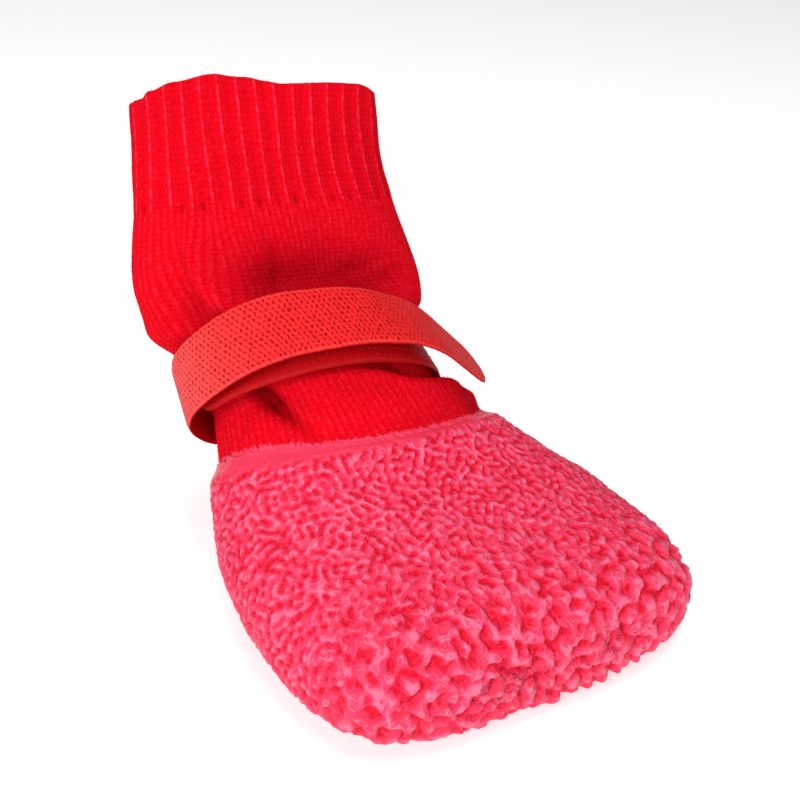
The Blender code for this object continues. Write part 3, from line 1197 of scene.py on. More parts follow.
@dataclass(frozen=True)
class TapeFinish:
    """Brushed loop tape, punched with rows of fine slits between two light edges.

    Attributes:
        back_hair: How much painted highlight the hairs on its back and hidden end mix in, and face_hair those
            on its face.
        bend_highlight_share: How much painted highlight is mixed into the tape's face at its tight bend.
    """

    effects: Effects
    # slit is the colour of the painted shade in the slits; light is the colour of the painted highlights on
    # knots, hairs and the bend, and of the light edge lines.
    face: Paint = colour(244, 18, 22)
    slit: Paint = colour(150, 1, 6)
    light: Paint = colour(255, 96, 96)
    under: Paint = colour(196, 0, 8)
    sheen_tint: Paint = colour(255, 140, 140)
    roughness: float = 0.55
    specular: float = 0.12
    sheen: float = 0.03
    sheen_roughness: float = 0.4
    bump: float = 0.0003
    fibre_height: float = 0.6
    slit_height: float = 1.2
    knot_highlight_share: float = 0.14
    slit_shade: float = 0.8
    edge_shade: float = 0.38
    back_hair: float = 0.02
    face_hair: float = 0.27
    bend_highlight_share: float = 0.62

    def material(self) -> Material:
        """The tape's material."""
        tree = Surface("loop_tape", self.roughness, self.specular)
        tree.sheen(self.sheen, self.sheen_roughness, self.sheen_tint)
        outer = tree.attribute("outer")
        slits = tree.group(self.effects.slits, Map=tree.skin())
        fibre = tree.group(self.effects.fibre, Place=tree.place())
        slit, knot = tree.times(slits["Slit"], outer), tree.times(slits["Knot"], outer)
        # Painted highlight on knots, hairs and the bend on the left, and painted shade in the slits.
        layers = (
            (tree.times(knot, self.knot_highlight_share), self.light),
            (tree.times(fibre["Hair"], tree.blend(outer, self.back_hair, self.face_hair)), self.light),
            (tree.times(tree.attribute("bent"), self.bend_highlight_share), self.light),
            (tree.times(slit, self.slit_shade), self.slit),
            (tree.times(tree.attribute("edge"), self.edge_shade), self.light),
        )
        base = tree.mix(outer, self.under, self.face)
        for share, paint in layers:
            base = tree.mix(share, base, paint)
        tree.set("Base Color", base)
        cut = tree.times(slit, self.slit_height)
        tree.bump(tree.minus(tree.times(fibre["Height"], self.fibre_height), cut), self.bump)
        return tree.material


def settle(piece: Piece, material: Material, slot: Slot, *nodes: str) -> None:
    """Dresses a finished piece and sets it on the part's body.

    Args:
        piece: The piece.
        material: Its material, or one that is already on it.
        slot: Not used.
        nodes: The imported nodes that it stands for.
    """
    if not piece.data.materials:
        piece.data.materials.append(material)
    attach(piece, "root")
    if nodes:
        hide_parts(*nodes)
    LOG.info("%s: %d faces", piece.name, len(piece.data.polygons))


def convex_outline(points: Array) -> Array:
    """The corners of the smallest convex outline round points in a plane.

    Args:
        points: Points in the plane.

    Returns:
        The corners in order.
    """
    ordered = sorted(map(tuple, points.tolist()))

    def half(sequence: list[tuple[float, float]]) -> list[tuple[float, float]]:
        """One side of the outline."""
        chain: list[tuple[float, float]] = []
        for point in sequence:
            while len(chain) > 1:
                (ax, ay), (bx, by) = chain[-2], chain[-1]
                if (bx - ax) * (point[1] - ay) - (by - ay) * (point[0] - ax) > 0:
                    break
                chain.pop()
            chain.append(point)
        return chain[:-1]

    return np.array(half(ordered) + half(ordered[::-1]))


@dataclass(frozen=True)
class Strap:
    """The hook-and-loop strap: one tape wound taut round the waist and over its own first end.

    Attributes:
        lay: How it lies at angles round the limb, from its hidden end to where the tail stands off.
        end_length: How far its two ends are rounded off.
        lean: The lean of the plane that it is wound in, and turn the plane's turn.
        levels: The lowest and highest whole millimetres that its line may reach off that plane.
        bridged: The station from which folds are bridged over, and don't let it in.
        smoothing: Steps that its line is smoothed over, an odd number.
        bend_at: The angle of the tight bend where the tape's face is painted lighter as a painted highlight,
            and bend_reach how far round that spreads.
        press_gap: How far behind its back it presses the knit.
        tail_ease: The share of the tail that turns to its direction.
        hook_length: The length of the first end, which bears hooks and no loops.
        face_from: How its back turns into its face, by the share of the thickness.
        edge_reach: How far in from its edges it is thinner, by edge_thin, and more brushed, by edge_nap.
        fray: How far its edges stray, and fray_size the length of that.
        line_at: How far in from its edges the light lines lie, and line_reach half their width.
        line_hidden: How much of them shows on the first end.
    """

    form: SockForm
    finish: TapeFinish
    lay: tuple[Lay, ...] = STRAP_LAY
    width: float = 13.0
    thickness: float = 0.9
    end_length: float = 4.5
    lean: float = 50.0
    turn: float = -10.0
    levels: tuple[int, int] = (-7, 3)
    bridged: float = 12.0
    smoothing: int = 33
    bend_at: float = 278.0
    bend_reach: float = 28.0
    press_gap: float = 0.1
    steps: int = 620
    tail_length: float = 26.0
    tail_ease: float = 0.5
    tail_direction: Triple = (0.73, -0.1, -0.68)
    tail_twist: float = -20.0
    hook_length: float = 62.0
    face_from: Ramp = Ramp(0.55, 1.0)
    edge_reach: float = 0.5
    edge_thin: float = 0.6
    fray: float = 0.14
    fray_size: float = 0.7
    fray_reach: float = 0.6
    fluff: float = 0.05
    fluff_size: float = 1.4
    line_at: float = 0.15
    line_reach: float = 0.2
    line_hidden: float = 0.35
    nap: float = 0.15
    edge_nap: float = 1.6
    face_columns: int = 46
    back_columns: int = 22
    edge_columns: int = 4

    def around(self) -> Array:
        """The angle round the limb at each step of the lay."""
        return np.linspace(self.lay[0].around, self.lay[-1].around, self.steps)

    def outlines(self) -> tuple[Array, tuple[Array, Array, Array], dict[int, Array]]:
        """The plane of the strap, and the outlines a taut tape takes there.

        Returns:
            The plane's centre, its axes, and an outline for each whole millimetre up and down.
        """
        place = (self.form.station("strap_foot") + self.form.station("strap_head")) / 2
        row = self.form.rows(np.array([place]))[0].copy()
        row[3], row[4] = self.lean, self.turn
        axes = self.form.axes(row)
        stations = np.linspace(self.form.station("heel"), self.form.station("rib_foot"), 97)
        angles = np.linspace(0, 2 * np.pi, 144, endpoint=False)
        kept = tuple(fold for fold in self.form.folds if fold.station < self.bridged)
        points = replace(self.form, folds=kept).knit(stations[:, None], angles[None, :]).reshape(-1, 3)
        offsets = (points - row[:3]) @ np.array(axes).T
        found = {}
        for up in range(self.levels[0], self.levels[1] + 1):
            near = offsets[np.abs(offsets[:, 2] - up) < self.width / 2 + 0.3]
            found[up] = convex_outline(near[:, :2])
        return row[:3], axes, found

    def reach(self, corners: Array, angles: Array) -> Array:
        """The distance from the centre to an outline in each direction.

        Args:
            corners: The outline's corners.
            angles: The directions in radians.

        Returns:
            The distances.
        """
        after = np.roll(corners, -1, axis=0)
        edge = after - corners
        aim = np.stack((np.sin(angles), np.cos(angles)), -1)[:, None, :]
        cross = aim[..., 0] * edge[:, 1] - aim[..., 1] * edge[:, 0]
        cross = np.where(np.abs(cross) < 1e-9, 1e-9, cross)
        far = (corners[:, 0] * edge[:, 1] - corners[:, 1] * edge[:, 0]) / cross
        share = (corners[:, 0] * aim[..., 1] - corners[:, 1] * aim[..., 0]) / cross
        good = (far > 0) & (share >= -1e-6) & (share <= 1 + 1e-6)
        return np.where(good, far, 0).max(axis=1)

    def line(self) -> tuple[Array, Array, Array]:
        """The strap's middle line.

        Returns:
            Its points, the direction across the strap's plane, and the tape's twists in radians.
        """
        centre, (across, forward, up), outlines = self.outlines()
        around = self.around()
        table = np.array([(lay.up, lay.stand, lay.twist) for lay in self.lay], float)
        places = np.interp(around, [lay.around for lay in self.lay], np.arange(len(self.lay)))
        rise, stand, twist = smooth_rows(table, places).T
        angles = np.radians(around)
        levels = sorted(outlines)
        reaches = np.stack([self.reach(outlines[level], angles) for level in levels])
        below = np.clip(np.floor(rise).astype(int) - levels[0], 0, len(levels) - 2)
        index = np.arange(len(around))
        low, high = reaches[below, index], reaches[below + 1, index]
        far = low + (high - low) * (rise - np.floor(rise))
        window = np.hanning(self.smoothing)
        padded = np.pad(far, self.smoothing // 2, mode="edge")
        far = np.convolve(padded, window / window.sum(), mode="valid") + stand
        points = (
            centre
            + across * (np.sin(angles) * far)[:, None]
            + forward * (np.cos(angles) * far)[:, None]
            + up * rise[:, None]
        )
        heading = points[-1] - points[-2]
        step = float(np.linalg.norm(heading))
        aim = unit(np.array(self.tail_direction))
        count = round(self.tail_length / step)
        share = np.minimum(1.0, np.arange(1, count + 1) / (count * self.tail_ease))[:, None]
        tail = np.cumsum(unit(heading / step * (1 - share) + aim * share) * step, axis=0)
        points = np.concatenate((points, points[-1] + tail))
        twist = np.concatenate((twist, np.linspace(twist[-1], self.tail_twist, count + 1)[1:]))
        return points, up, np.radians(twist)

    def press(self, points: Array) -> Array:
        """Draws the knit in wherever it would stand through the tape's first turn.

        Args:
            points: Points on the knit, by row and column.

        Returns:
            How each point moves.
        """
        centre, (across, forward, up), _ = self.outlines()
        line, _, twists = self.line()
        around = self.around()
        turn = around < self.lay[0].around + 360
        around, twists = around[turn], twists[: self.steps][turn]
        first = line[: self.steps][turn] - centre
        offsets = points - centre
        side, ahead, level = offsets @ across, offsets @ forward, offsets @ up
        place = (np.degrees(np.arctan2(side, ahead)) - around[0]) % 360 + around[0]
        far = np.hypot(side, ahead)
        limit = np.interp(place, around, np.hypot(first @ across, first @ forward))
        rise = level - np.interp(place, around, first @ up)
        limit += rise * np.tan(np.interp(place, around, twists)) - self.thickness / 2 - self.press_gap
        limit += np.maximum(np.abs(rise) - self.width / 2, 0) ** 1.5
        excess = np.maximum(far - limit, 0)
        outwards = across * side[..., None] + forward * ahead[..., None]
        return -outwards / np.maximum(far, 1e-6)[..., None] * excess[..., None]

    def frames(self, points: Array, up: Array, twists: Array) -> tuple[Array, Array]:
        """The directions across the tape and out through its face.

        Args:
            points: The middle line.
            up: The direction across the strap's plane.
            twists: The tape's twists.

        Returns:
            Unit vectors across and outwards at each point.
        """
        ahead = unit(np.gradient(points, axis=0))
        wide = unit(up - ahead * (ahead @ up)[:, None])
        outwards = np.cross(ahead, wide)
        cos, sin = np.cos(twists)[:, None], np.sin(twists)[:, None]
        return wide * cos + outwards * sin, outwards * cos - wide * sin

    def half_width(self, along: Array) -> Array:
        """Half the tape's width at distances along it, with both ends rounded off."""
        near = np.minimum(along, along[-1] - along)
        share = 1 - np.clip(near / self.end_length, 0, 1)
        return self.width / 2 * (0.3 + 0.7 * np.sqrt(np.clip(1 - share**2, 0, 1)))

    def section(self) -> Array:
        """The tape's outline as (across, out) shares, round from its lower edge over its face."""
        face = np.linspace(-1, 1, self.face_columns)
        back = np.linspace(1, -1, self.back_columns)
        turn = np.linspace(0, np.pi, self.edge_columns + 2)[1:-1]
        upper = np.stack((1 + np.sin(turn) * 0.05, np.cos(turn)), -1)
        lower = np.stack((-1 - np.sin(turn) * 0.05, -np.cos(turn)), -1)
        return np.concatenate(
            (np.stack((face, face * 0 + 1), -1), upper, np.stack((back, back * 0 - 1), -1), lower)
        )

    def build(self) -> Piece:
        """Builds and dresses the strap.

        Returns:
            The piece.
        """
        points, up, twists = self.line()
        wide, outwards = self.frames(points, up, twists)
        along = running(lengths(np.diff(points, axis=0)))
        outline = self.section()
        half = self.half_width(along)[:, None]
        across = outline[:, 0][None, :] * half
        out = np.broadcast_to(outline[:, 1][None, :], across.shape)
        away = half - np.abs(across)
        lap = smooth_step(along, self.hook_length - 1, self.hook_length)[:, None]
        outer = self.face_from.at(out) * lap
        places = np.stack((along, along * 0, along * 0), -1)
        fray = noise_at(places, self.fray_size, seed=6.0)[:, None] * self.fray
        across = across + fray * np.sign(across) * bell(away, self.fray_reach)
        stand = self.thickness / 2 * out * (1 - self.edge_thin * bell(away, self.edge_reach))
        skin = points[:, None, :] + wide[:, None, :] * across[..., None]
        skin = skin + outwards[:, None, :] * stand[..., None]
        fluff = noise_at(skin, self.fluff_size, seed=12.0) * self.fluff
        skin = skin + outwards[:, None, :] * (fluff * outer)[..., None]
        skin = skin[:, ::-1]
        shown = self.line_hidden + (1 - self.line_hidden) * lap
        edge = bell(away - self.line_at, self.line_reach) * smooth_step(out, 0.5, 1.0) * shown
        around = np.pad(self.around(), (0, len(along) - self.steps), mode="edge")
        # A painted highlight on the tape's face where it bends round on the left.
        bent = bell(around - self.bend_at, self.bend_reach)[:, None] * outer
        nap = self.nap + bell(away, self.edge_reach) * self.edge_nap
        masks = {"edge": edge, "outer": outer, "nap": nap, "bent": bent}
        values = {label: mask[:, ::-1] for label, mask in masks.items()}
        piece = TubeMesh(skin, along, 1.0, values).build("strap_tape")
        self._map(piece, across[:, ::-1], along)
        settle(piece, self.finish.material(), Slot.TAPE, "strap")
        return piece

    def _map(self, piece: Piece, across: Array, along: Array) -> None:
        """Sets the map to millimetres across and along the tape.

        Args:
            piece: The strap.
            across: The distance across it at each point.
            along: The distance along it at each row.
        """
        mesh = piece.data
        corner = np.zeros(len(mesh.loops), int)
        mesh.loops.foreach_get("vertex_index", corner)
        flat = np.stack((across.ravel(), np.repeat(along, across.shape[1])), -1)
        flat = np.concatenate((flat, [[0, along[0]], [0, along[-1]]]))
        mesh.uv_layers["skin"].uv.foreach_set("vector", flat[corner].ravel().astype(np.float32))


@dataclass(frozen=True)
class Wave:
    """A wave in the wales: its rates along and round the limb, its phase, and its share of the stray."""

    along: float
    around: float
    phase: float
    share: float


@dataclass(frozen=True)
class KnitRelief:
    """The knit's surface: wales, ribs that stand up out of them, and a row of holes between the two.

    Depths and reaches are in millimetres. A reach round the sock is a share of a rib or a wale.

    Attributes:
        wales_per_rib: Wales from one rib to the next.
        wale_depth: The wales' height.
        wale_round: The power that rounds a wale off, where 1 is a plain sine.
        wale_low: How much of that height lies below the plain skin.
        wale_in_rib: How much of it the ribs take away.
        rib_depth: The ribs' height, of which rib_share is a plain wave and crest_share a narrow crest.
        rib_low: How much of that height lies below the plain skin.
        crest_reach: Half the width of a crest.
        crest_lit: How the painted highlight mask rises over a crest.
        groove: How the painted shade mask rises into the groove between ribs.
        hole: How the holes open into that groove; they are sunk and painted darker as painted shade.
        hole_reach: Half the length of a hole.
        hole_stray: How far the holes stray along the sock.
    """

    wales_per_rib: int = 3
    wale_depth: float = 0.1
    wale_round: float = 0.7
    wale_low: float = 0.6
    wale_in_rib: float = 0.6
    rib_depth: float = 0.26
    rib_share: float = 0.9
    crest_share: float = 0.35
    rib_low: float = 0.2
    crest_reach: float = 0.1
    crest_lit: Ramp = Ramp(0.55, 1.0)
    groove: Ramp = Ramp(0.1, 0.5)
    # groove_shade and hole_shade are painted shade in the rib grooves and holes; line_share is a painted
    # highlight along each wale's middle.
    groove_shade: float = 0.14
    hole: Ramp = Ramp(0.15, 0.5)
    hole_reach: float = 0.7
    hole_stray: float = 0.4
    hole_depth: float = 0.5
    hole_shade: float = 0.4
    line_reach: float = 0.22
    line_share: float = 0.36

    def uneven(self, wale: Array) -> Array:
        """A number from 0 to 1 that differs from wale to wale."""
        return 0.5 + 0.5 * np.sin(wale * 2.1 + 1.3 * np.sin(wale * 0.7))

    def at(self, wale: Array, rib: Array, into_rib: Array) -> tuple[Array, Array, Array]:
        """Reads the surface.

        Args:
            wale: The wale coordinate of each point.
            rib: How much each point is in the rib, from 0 to 1.
            into_rib: How far each point is past the rib's start.

        Returns:
            Heights, the painted highlight mask of the crests and the wales' middle lines, and the painted shade
            mask of the grooves and holes.
        """
        scallop = np.abs(np.sin(np.pi * wale)) ** self.wale_round - self.wale_low
        from_crest = (wale / self.wales_per_rib) % 1 - 0.5
        crest = bell(from_crest, self.crest_reach)
        round_rib = np.cos(2 * np.pi * from_crest) * 0.5
        ribbed = self.rib_share * round_rib + self.crest_share * crest - self.rib_low
        height = (1 - self.wale_in_rib * rib) * self.wale_depth * scallop + rib * self.rib_depth * ribbed
        uneven = self.uneven(wale)
        hole = bell(into_rib - self.hole_stray * uneven, self.hole_reach) * self.hole.at(-round_rib)
        # The crest and line masks are painted highlight; the groove and hole masks are painted shade.
        line = bell(wale % 1 - 0.5, self.line_reach) * (1 - rib)
        crest_highlights = rib * self.crest_lit.at(crest) + self.line_share * line
        grooves = rib * self.groove.at(-round_rib) * self.groove_shade
        painted_shades = np.clip(grooves + hole * self.hole_shade * uneven, 0, 1)
        return height - self.hole_depth * hole * uneven, crest_highlights, painted_shades


@dataclass(frozen=True)
class KnitSock:
    """The knitted sock: one tube from its closed toe to its open mouth, with a real wall.

    Attributes:
        crease_reach: How far a crease spreads, as a share of the width in its table.
        samples: Columns of points for each wale.
        course: The height of one row of loops.
        strays: The waves in the wales, which go stray_angle far, in radians.
        stray_from: The stations over which they set in.
        plain_to: The station up to which the dip hides the knit, so that it needs few rows.
        rib_before: How far below its start the rib sets in, and rib_after how far above it is whole.
        under_dip: How far below the dip's rim the wales set in, and under_rim where they are whole.
        crease_shade: The painted shade of a crease by its depth, and fold_shade that of a fold.
        rim_span: How far below and above the dip's rim the soaked edge is followed.
        inner_crease: How much of a crease's depth the inner face follows, and inner_relief of the relief's.
        inner_light: How much of the ribs' painted highlight and nap it keeps.
    """

    form: SockForm
    strap: Strap
    finish: KnitFinish
    relief: KnitRelief = KnitRelief()
    creases: tuple[Crease, ...] = CREASES
    crease_reach: float = 0.6
    wales: int = 96
    samples: int = 5
    wall: float = 1.5
    course: float = 1.05
    strays: tuple[Wave, ...] = (Wave(1.1, 2, 0.0, 1.0), Wave(2.1, -5, 1.0, 0.5))
    stray_angle: float = 0.018
    stray_from: Ramp = Ramp(7.5, 9.5)
    plain_to: float = 7.2
    foot_rows: int = 12
    body_step: float = 0.66
    cuff_step: float = 0.55
    rib_before: float = 1.2
    rib_after: float = 1.6
    under_dip: float = 6.0
    under_rim: float = 2.0
    drape_size: float = 9.0
    drape_height: float = 0.35
    crease_shade: Ramp = Ramp(0.8, 4.2, 0.8)
    fold_shade: Ramp = Ramp(0.2, 6.6, 0.5)
    rim_span: tuple[float, float] = (-3.0, 6.0)
    edge_rows: int = 5
    edge_shade: float = 0.4
    edge_nap: float = 1.5
    inner_rows: int = 26
    inner_power: float = 1.35
    inner_crease: float = 0.7
    inner_relief: float = 0.4
    inner_light: float = 0.3
    inner_shade: float = 0.4

    def stations(self) -> tuple[Array, Array]:
        """The rows' stations on the outer face.

        Returns:
            The stations, and each row's distance along the skin.
        """
        fine, reach = self.form.reach(0.0, self.form.station("mouth"))
        body_start, cuff_start = np.interp((self.plain_to, self.form.station("rib_foot")), fine, reach)
        foot = np.linspace(0, body_start, self.foot_rows, endpoint=False)
        body = np.arange(body_start, cuff_start, self.body_step)
        cuff = np.arange(cuff_start, reach[-1], self.cuff_step)
        runs = np.concatenate((foot, body, cuff, reach[-1:]))
        return np.interp(runs, reach, fine), runs

    def stray(self, stations: Array, angles: Array) -> Array:
        """Lets the wales stray a little from straight, as slack cloth does.

        Args:
            stations: The rows' stations.
            angles: The columns' angles in each row.

        Returns:
            The angles, with the stray added.
        """
        along = stations[:, None]
        total = np.zeros_like(angles)
        for wave in self.strays:
            total += wave.share * np.sin(wave.along * along + wave.around * angles + wave.phase)
        return angles + self.stray_angle * total * self.stray_from.at(along)

    def crease_depth(self, points: Array) -> Array:
        """How deep the creases are at points on the knit.

        Args:
            points: Points by row and column.

        Returns:
            Depths inwards, in millimetres.
        """
        total = np.zeros(points.shape[:-1])
        for crease in self.creases:
            steps = np.linspace(0, len(crease.path) - 1, 25)
            path = smooth_rows(np.array(crease.path, float), steps)
            line = self.form.knit(path[:, 0], np.radians(path[:, 1]))
            share = np.linspace(0, 1, len(line))
            taper = np.sin(np.pi * np.clip(share, 0.02, 0.98)) ** 0.6
            away = np.stack([lengths(points - place) for place in line], axis=-1)
            shape = bell(away, crease.width * self.crease_reach) * taper
            total += crease.depth * shape.max(axis=-1)
        return total

    def mouth_edge(self, last: Array, normals: Array, station: Array) -> Array:
        """Rounds the mouth's edge from the outer face over to the inner one.

        Args:
            last: The outer face's last row.
            normals: The outward direction at each of its points.
            station: The mouth's station, as a row of one.

        Returns:
            Rows of points over the edge.
        """
        up = self.form.axes(self.form.rows(station))[2][0]
        edge = []
        for step in range(1, self.edge_rows + 1):
            turn = math.pi * step / (self.edge_rows + 1)
            inwards = self.wall / 2 * (1 - math.cos(turn))
            edge.append(last - normals * inwards + up * self.wall / 2 * math.sin(turn))
        return np.array(edge)

    def build(self) -> Piece:
        """Builds and dresses the knitted sock.

        Returns:
            The piece.
        """
        columns = self.wales * self.samples
        stations, runs = self.stations()
        angles = self.stray(stations, self.form.even_angles(stations, columns, Weight.EVEN))
        skin = self.form.knit(stations[:, None], angles)
        normals = grid_normals(skin)
        wale = np.broadcast_to(np.arange(columns) / self.samples, angles.shape)
        reach = np.broadcast_to(runs[:, None], angles.shape)
        marks = [self.form.station(name) for name in ("rib_foot", "dip_rim")]
        rib_start, rim = np.interp(marks, *self.form.reach(0.0, self.form.station("mouth")))
        rib = smooth_step(reach, rib_start - self.rib_before, rib_start + self.rib_after)
        height, crest_highlights, painted_shades = self.relief.at(wale, rib, reach - rib_start)
        body = smooth_step(reach, rim - self.under_dip, rim - self.under_rim)
        sunk = self.crease_depth(skin) * body
        drape = noise_at(skin, self.drape_size, seed=3.0) * self.drape_height * body
        outer = skin + normals * (height * body - sunk + drape)[..., None]
        pressed = self.strap.press(outer) * body[..., None]
        outer = outer + pressed
        drawn_in = self.form.sink(stations[:, None], angles)
        # Painted shade: creases and folds darken the colour by how far they draw the knit in.
        shade = self.crease_shade.at(sunk) + self.fold_shade.at(drawn_in)
        painted_shades = np.clip(painted_shades + shade * body, 0, 1)
        above_rim = np.clip(reach - rim - self.form.rim_rise(angles), *self.rim_span)
        edge = self.mouth_edge(outer[-1], normals[-1], stations[-1:])
        picks = inner_picks(len(stations), self.inner_rows, self.inner_power)
        deep = self.wall + sunk[picks] * self.inner_crease - self.inner_relief * height[picks]
        inner = skin[picks] + pressed[picks] - normals[picks] * deep[..., None]
        past = runs[-1] + 1
        along = np.concatenate((runs, np.full(self.edge_rows, past), 2 * past - runs[picks]))
        rest, blank = np.ones((self.edge_rows, columns)), np.ones((len(picks), columns))
        # The crest light mask is painted highlight, and the shade mask is painted shade, weaker on the mouth's
        # edge and laid over the whole inner face.
        masks = {
            "rib": (crest_highlights, crest_highlights[-1] * rest, crest_highlights[picks] * self.inner_light),
            "painted_shade": (painted_shades, painted_shades[-1] * self.edge_shade * rest, self.inner_shade * (1 + painted_shades[picks])),
            "rim": (above_rim, self.rim_span[1] * rest, self.rim_span[1] * blank),
            "nap": (smooth_step(reach, rim + 1, rim + 2), self.edge_nap * rest, self.inner_light * rib[picks]),
        }
        values = {label: np.concatenate(parts) for label, parts in masks.items()}
        points = np.concatenate((outer, edge, inner))
        piece = TubeMesh(points, along / self.course, float(self.wales), values).build("knit_sock_skin")
        settle(piece, self.finish.material(), Slot.KNIT, "knit_sock")
        return piece


@dataclass(frozen=True)
class LatexFoot:
    """The latex dip: a crinkled skin over the foot, its sole flat on the floor, thin at its rim.

    Attributes:
        gap: How far its inner face stands off the form.
        cap_rows: Rows that close the toe tip, cap_step apart and cap_bulge forward at the most.
        rim_band: How wide the smooth band at the rim is.
        rim_radius: The radius on which the rim's stray is read.
        jag: How far the rim strays, over the last jag_reach of the skin, and jag_size the length of that.
        lift_reach: How far from the rim its rise on the left is taken up.
        toe: Where the crinkle turns coarse, by the distance forward.
        sole: How level a face is where it counts as the sole.
        warp_size: The size of the bends in the ridges, and change_size that of the lumps that change them.
        crinkle_low: How much of the crinkle's height lies below the plain skin, with sole_low more there.
        droop: How far a ridge hangs over, as a share of its height.
        streaks: How many units of its map go once round it, which sets the rim's streaks.
    """

    form: SockForm
    finish: LatexFinish
    gap: float = 0.3
    wall: float = 1.6
    columns: int = 376
    row_step: float = 0.37
    cap_rows: int = 14
    cap_step: float = 0.3
    cap_bulge: float = 0.5
    inner_rows: int = 9
    inner_power: float = 1.2
    rim_band: float = 3.2
    rim_thickness: float = 0.4
    rim_tuck: float = 0.25
    rim_radius: float = 25.0
    jag: float = 0.9
    jag_size: float = 0.9
    jag_reach: float = 3.0
    lift_reach: float = 24.0
    warp_size: float = 3.4
    change_size: float = 9.0
    fine_pitch: float = 1.7
    coarse_pitch: float = 3.1
    fine_height: float = 0.7
    coarse_height: float = 1.4
    crinkle_low: float = 0.55
    sole_low: float = 0.45
    swell_size: float = 11.0
    swell_height: float = 0.5
    toe: Ramp = Ramp(18, 46)
    sole: Ramp = Ramp(0.6, 0.95)
    droop: Triple = (0, -0.25, -0.35)
    streaks: float = 140.0

    def crinkle(self, points: Array, toe: Array) -> Array:
        """The crinkle's height: winding ridges, larger towards the toe.

        Args:
            points: Points on the plain skin.
            toe: How far each point is towards the toe, from 0 to 1.

        Returns:
            Heights from 0 in a valley to 1 on a ridge.
        """
        pattern = Labyrinth()
        warp = np.stack([noise_at(points, self.warp_size, seed) for seed in (1.0, 2.0, 3.0)], -1)
        size = noise_at(points, self.change_size, seed=4.0)[..., None]
        fine = pattern.at(points + (0.6 + 0.5 * size) * warp, self.fine_pitch)
        coarse = pattern.at(points + 1.2 * warp, self.coarse_pitch)
        mixed = fine * (1 - toe) + (coarse + 0.3 * fine) * toe
        return 0.7 * smooth_step(mixed, -1.2, 0.15) + 0.3 * smooth_step(mixed, 0.3, 1.4)

    def skin(self) -> tuple[Array, Array, float]:
        """The plain skin, from a cap over the toe tip to the rim.

        Returns:
            Points by row and column, each row's distance along the skin, and the rim's.
        """
        rim_station = self.form.station("dip_rim")
        fine, reach = self.form.reach(0.0, rim_station)
        runs = np.linspace(0, reach[-1], round(reach[-1] / self.row_step))
        angles = self.form.even_angles(np.interp(runs, reach, fine), self.columns, Weight.TOP_HEAVY)
        rim = angles[-1]
        circle = np.stack((np.cos(rim), np.sin(rim), 0 * rim), -1) * self.rim_radius
        jag = noise_at(circle, self.jag_size, seed=8.0)
        near = smooth_step(runs, reach[-1] - self.jag_reach, reach[-1])[:, None]
        wide = smooth_step(runs, reach[-1] - self.lift_reach, reach[-1])[:, None]
        shift = near * jag[None, :] * self.jag + wide * self.form.rim_rise(rim)[None, :]
        past, run_past = self.form.reach(0.0, rim_station + 1)
        moved = np.interp(np.clip(runs[:, None] + shift, 0, None), run_past, past)
        skin = self.form.plain(moved, angles)
        centre = skin[0].mean(axis=0)
        shrink = ((np.arange(1, self.cap_rows + 1) - 0.6) / (self.cap_rows + 0.4))[:, None, None]
        cap = centre + (skin[0] - centre) * shrink - np.array((0, self.cap_bulge, 0)) * (1 - shrink**2)
        before = -np.linspace(self.cap_rows, 1, self.cap_rows) * self.cap_step
        return np.concatenate((cap, skin)), np.concatenate((before, runs)), reach[-1]

    def build(self) -> Piece:
        """Builds and dresses the latex foot.

        Returns:
            The piece.
        """
        skin, runs, rim = self.skin()
        normals = grid_normals(skin)
        normals[: self.cap_rows - 2] = np.array((0.05, -1, 0))
        from_rim = rim - runs[:, None] + 0 * skin[..., 0]
        toe = self.toe.at(-skin[..., 1])
        ridge = self.crinkle(skin + normals * self.gap, toe)
        calm = smooth_step(from_rim, self.rim_band * 0.55, self.rim_band + 1.8)
        height = self.fine_height + (self.coarse_height - self.fine_height) * toe
        sole = self.sole.at(-normals[..., 2])
        swell = noise_at(skin, self.swell_size, seed=9.0) * self.swell_height * calm
        lift = (ridge - self.crinkle_low - self.sole_low * sole) * height * calm
        thick = self.rim_thickness + (self.wall - self.rim_thickness) * smooth_step(from_rim, 0, self.rim_band)
        outer = skin + normals * (self.gap * calm + thick + lift + swell * (1 - sole))[..., None]
        outer = outer + np.array(self.droop) * (ridge * height * calm * (1 - sole))[..., None]
        outer[..., 2] = np.maximum(outer[..., 2], 0.0)
        picks = inner_picks(len(skin), self.inner_rows, self.inner_power)
        depth = np.where(from_rim[picks] < 1, -self.rim_tuck, self.gap)
        inner = skin[picks] + normals[picks] * depth[..., None]
        along = np.concatenate((runs, 2 * runs[-1] - runs[picks] + 1))
        masks = {"ridge": ridge * calm, "band": 1 - calm, "toe": toe}
        blank = np.zeros((len(picks), self.columns))
        values = {label: np.concatenate((mask, blank)) for label, mask in masks.items()}
        piece = TubeMesh(np.concatenate((outer, inner)), along, self.streaks, values).build("latex_foot_skin")
        settle(piece, self.finish.material(), Slot.LATEX, "latex_foot")
        return piece


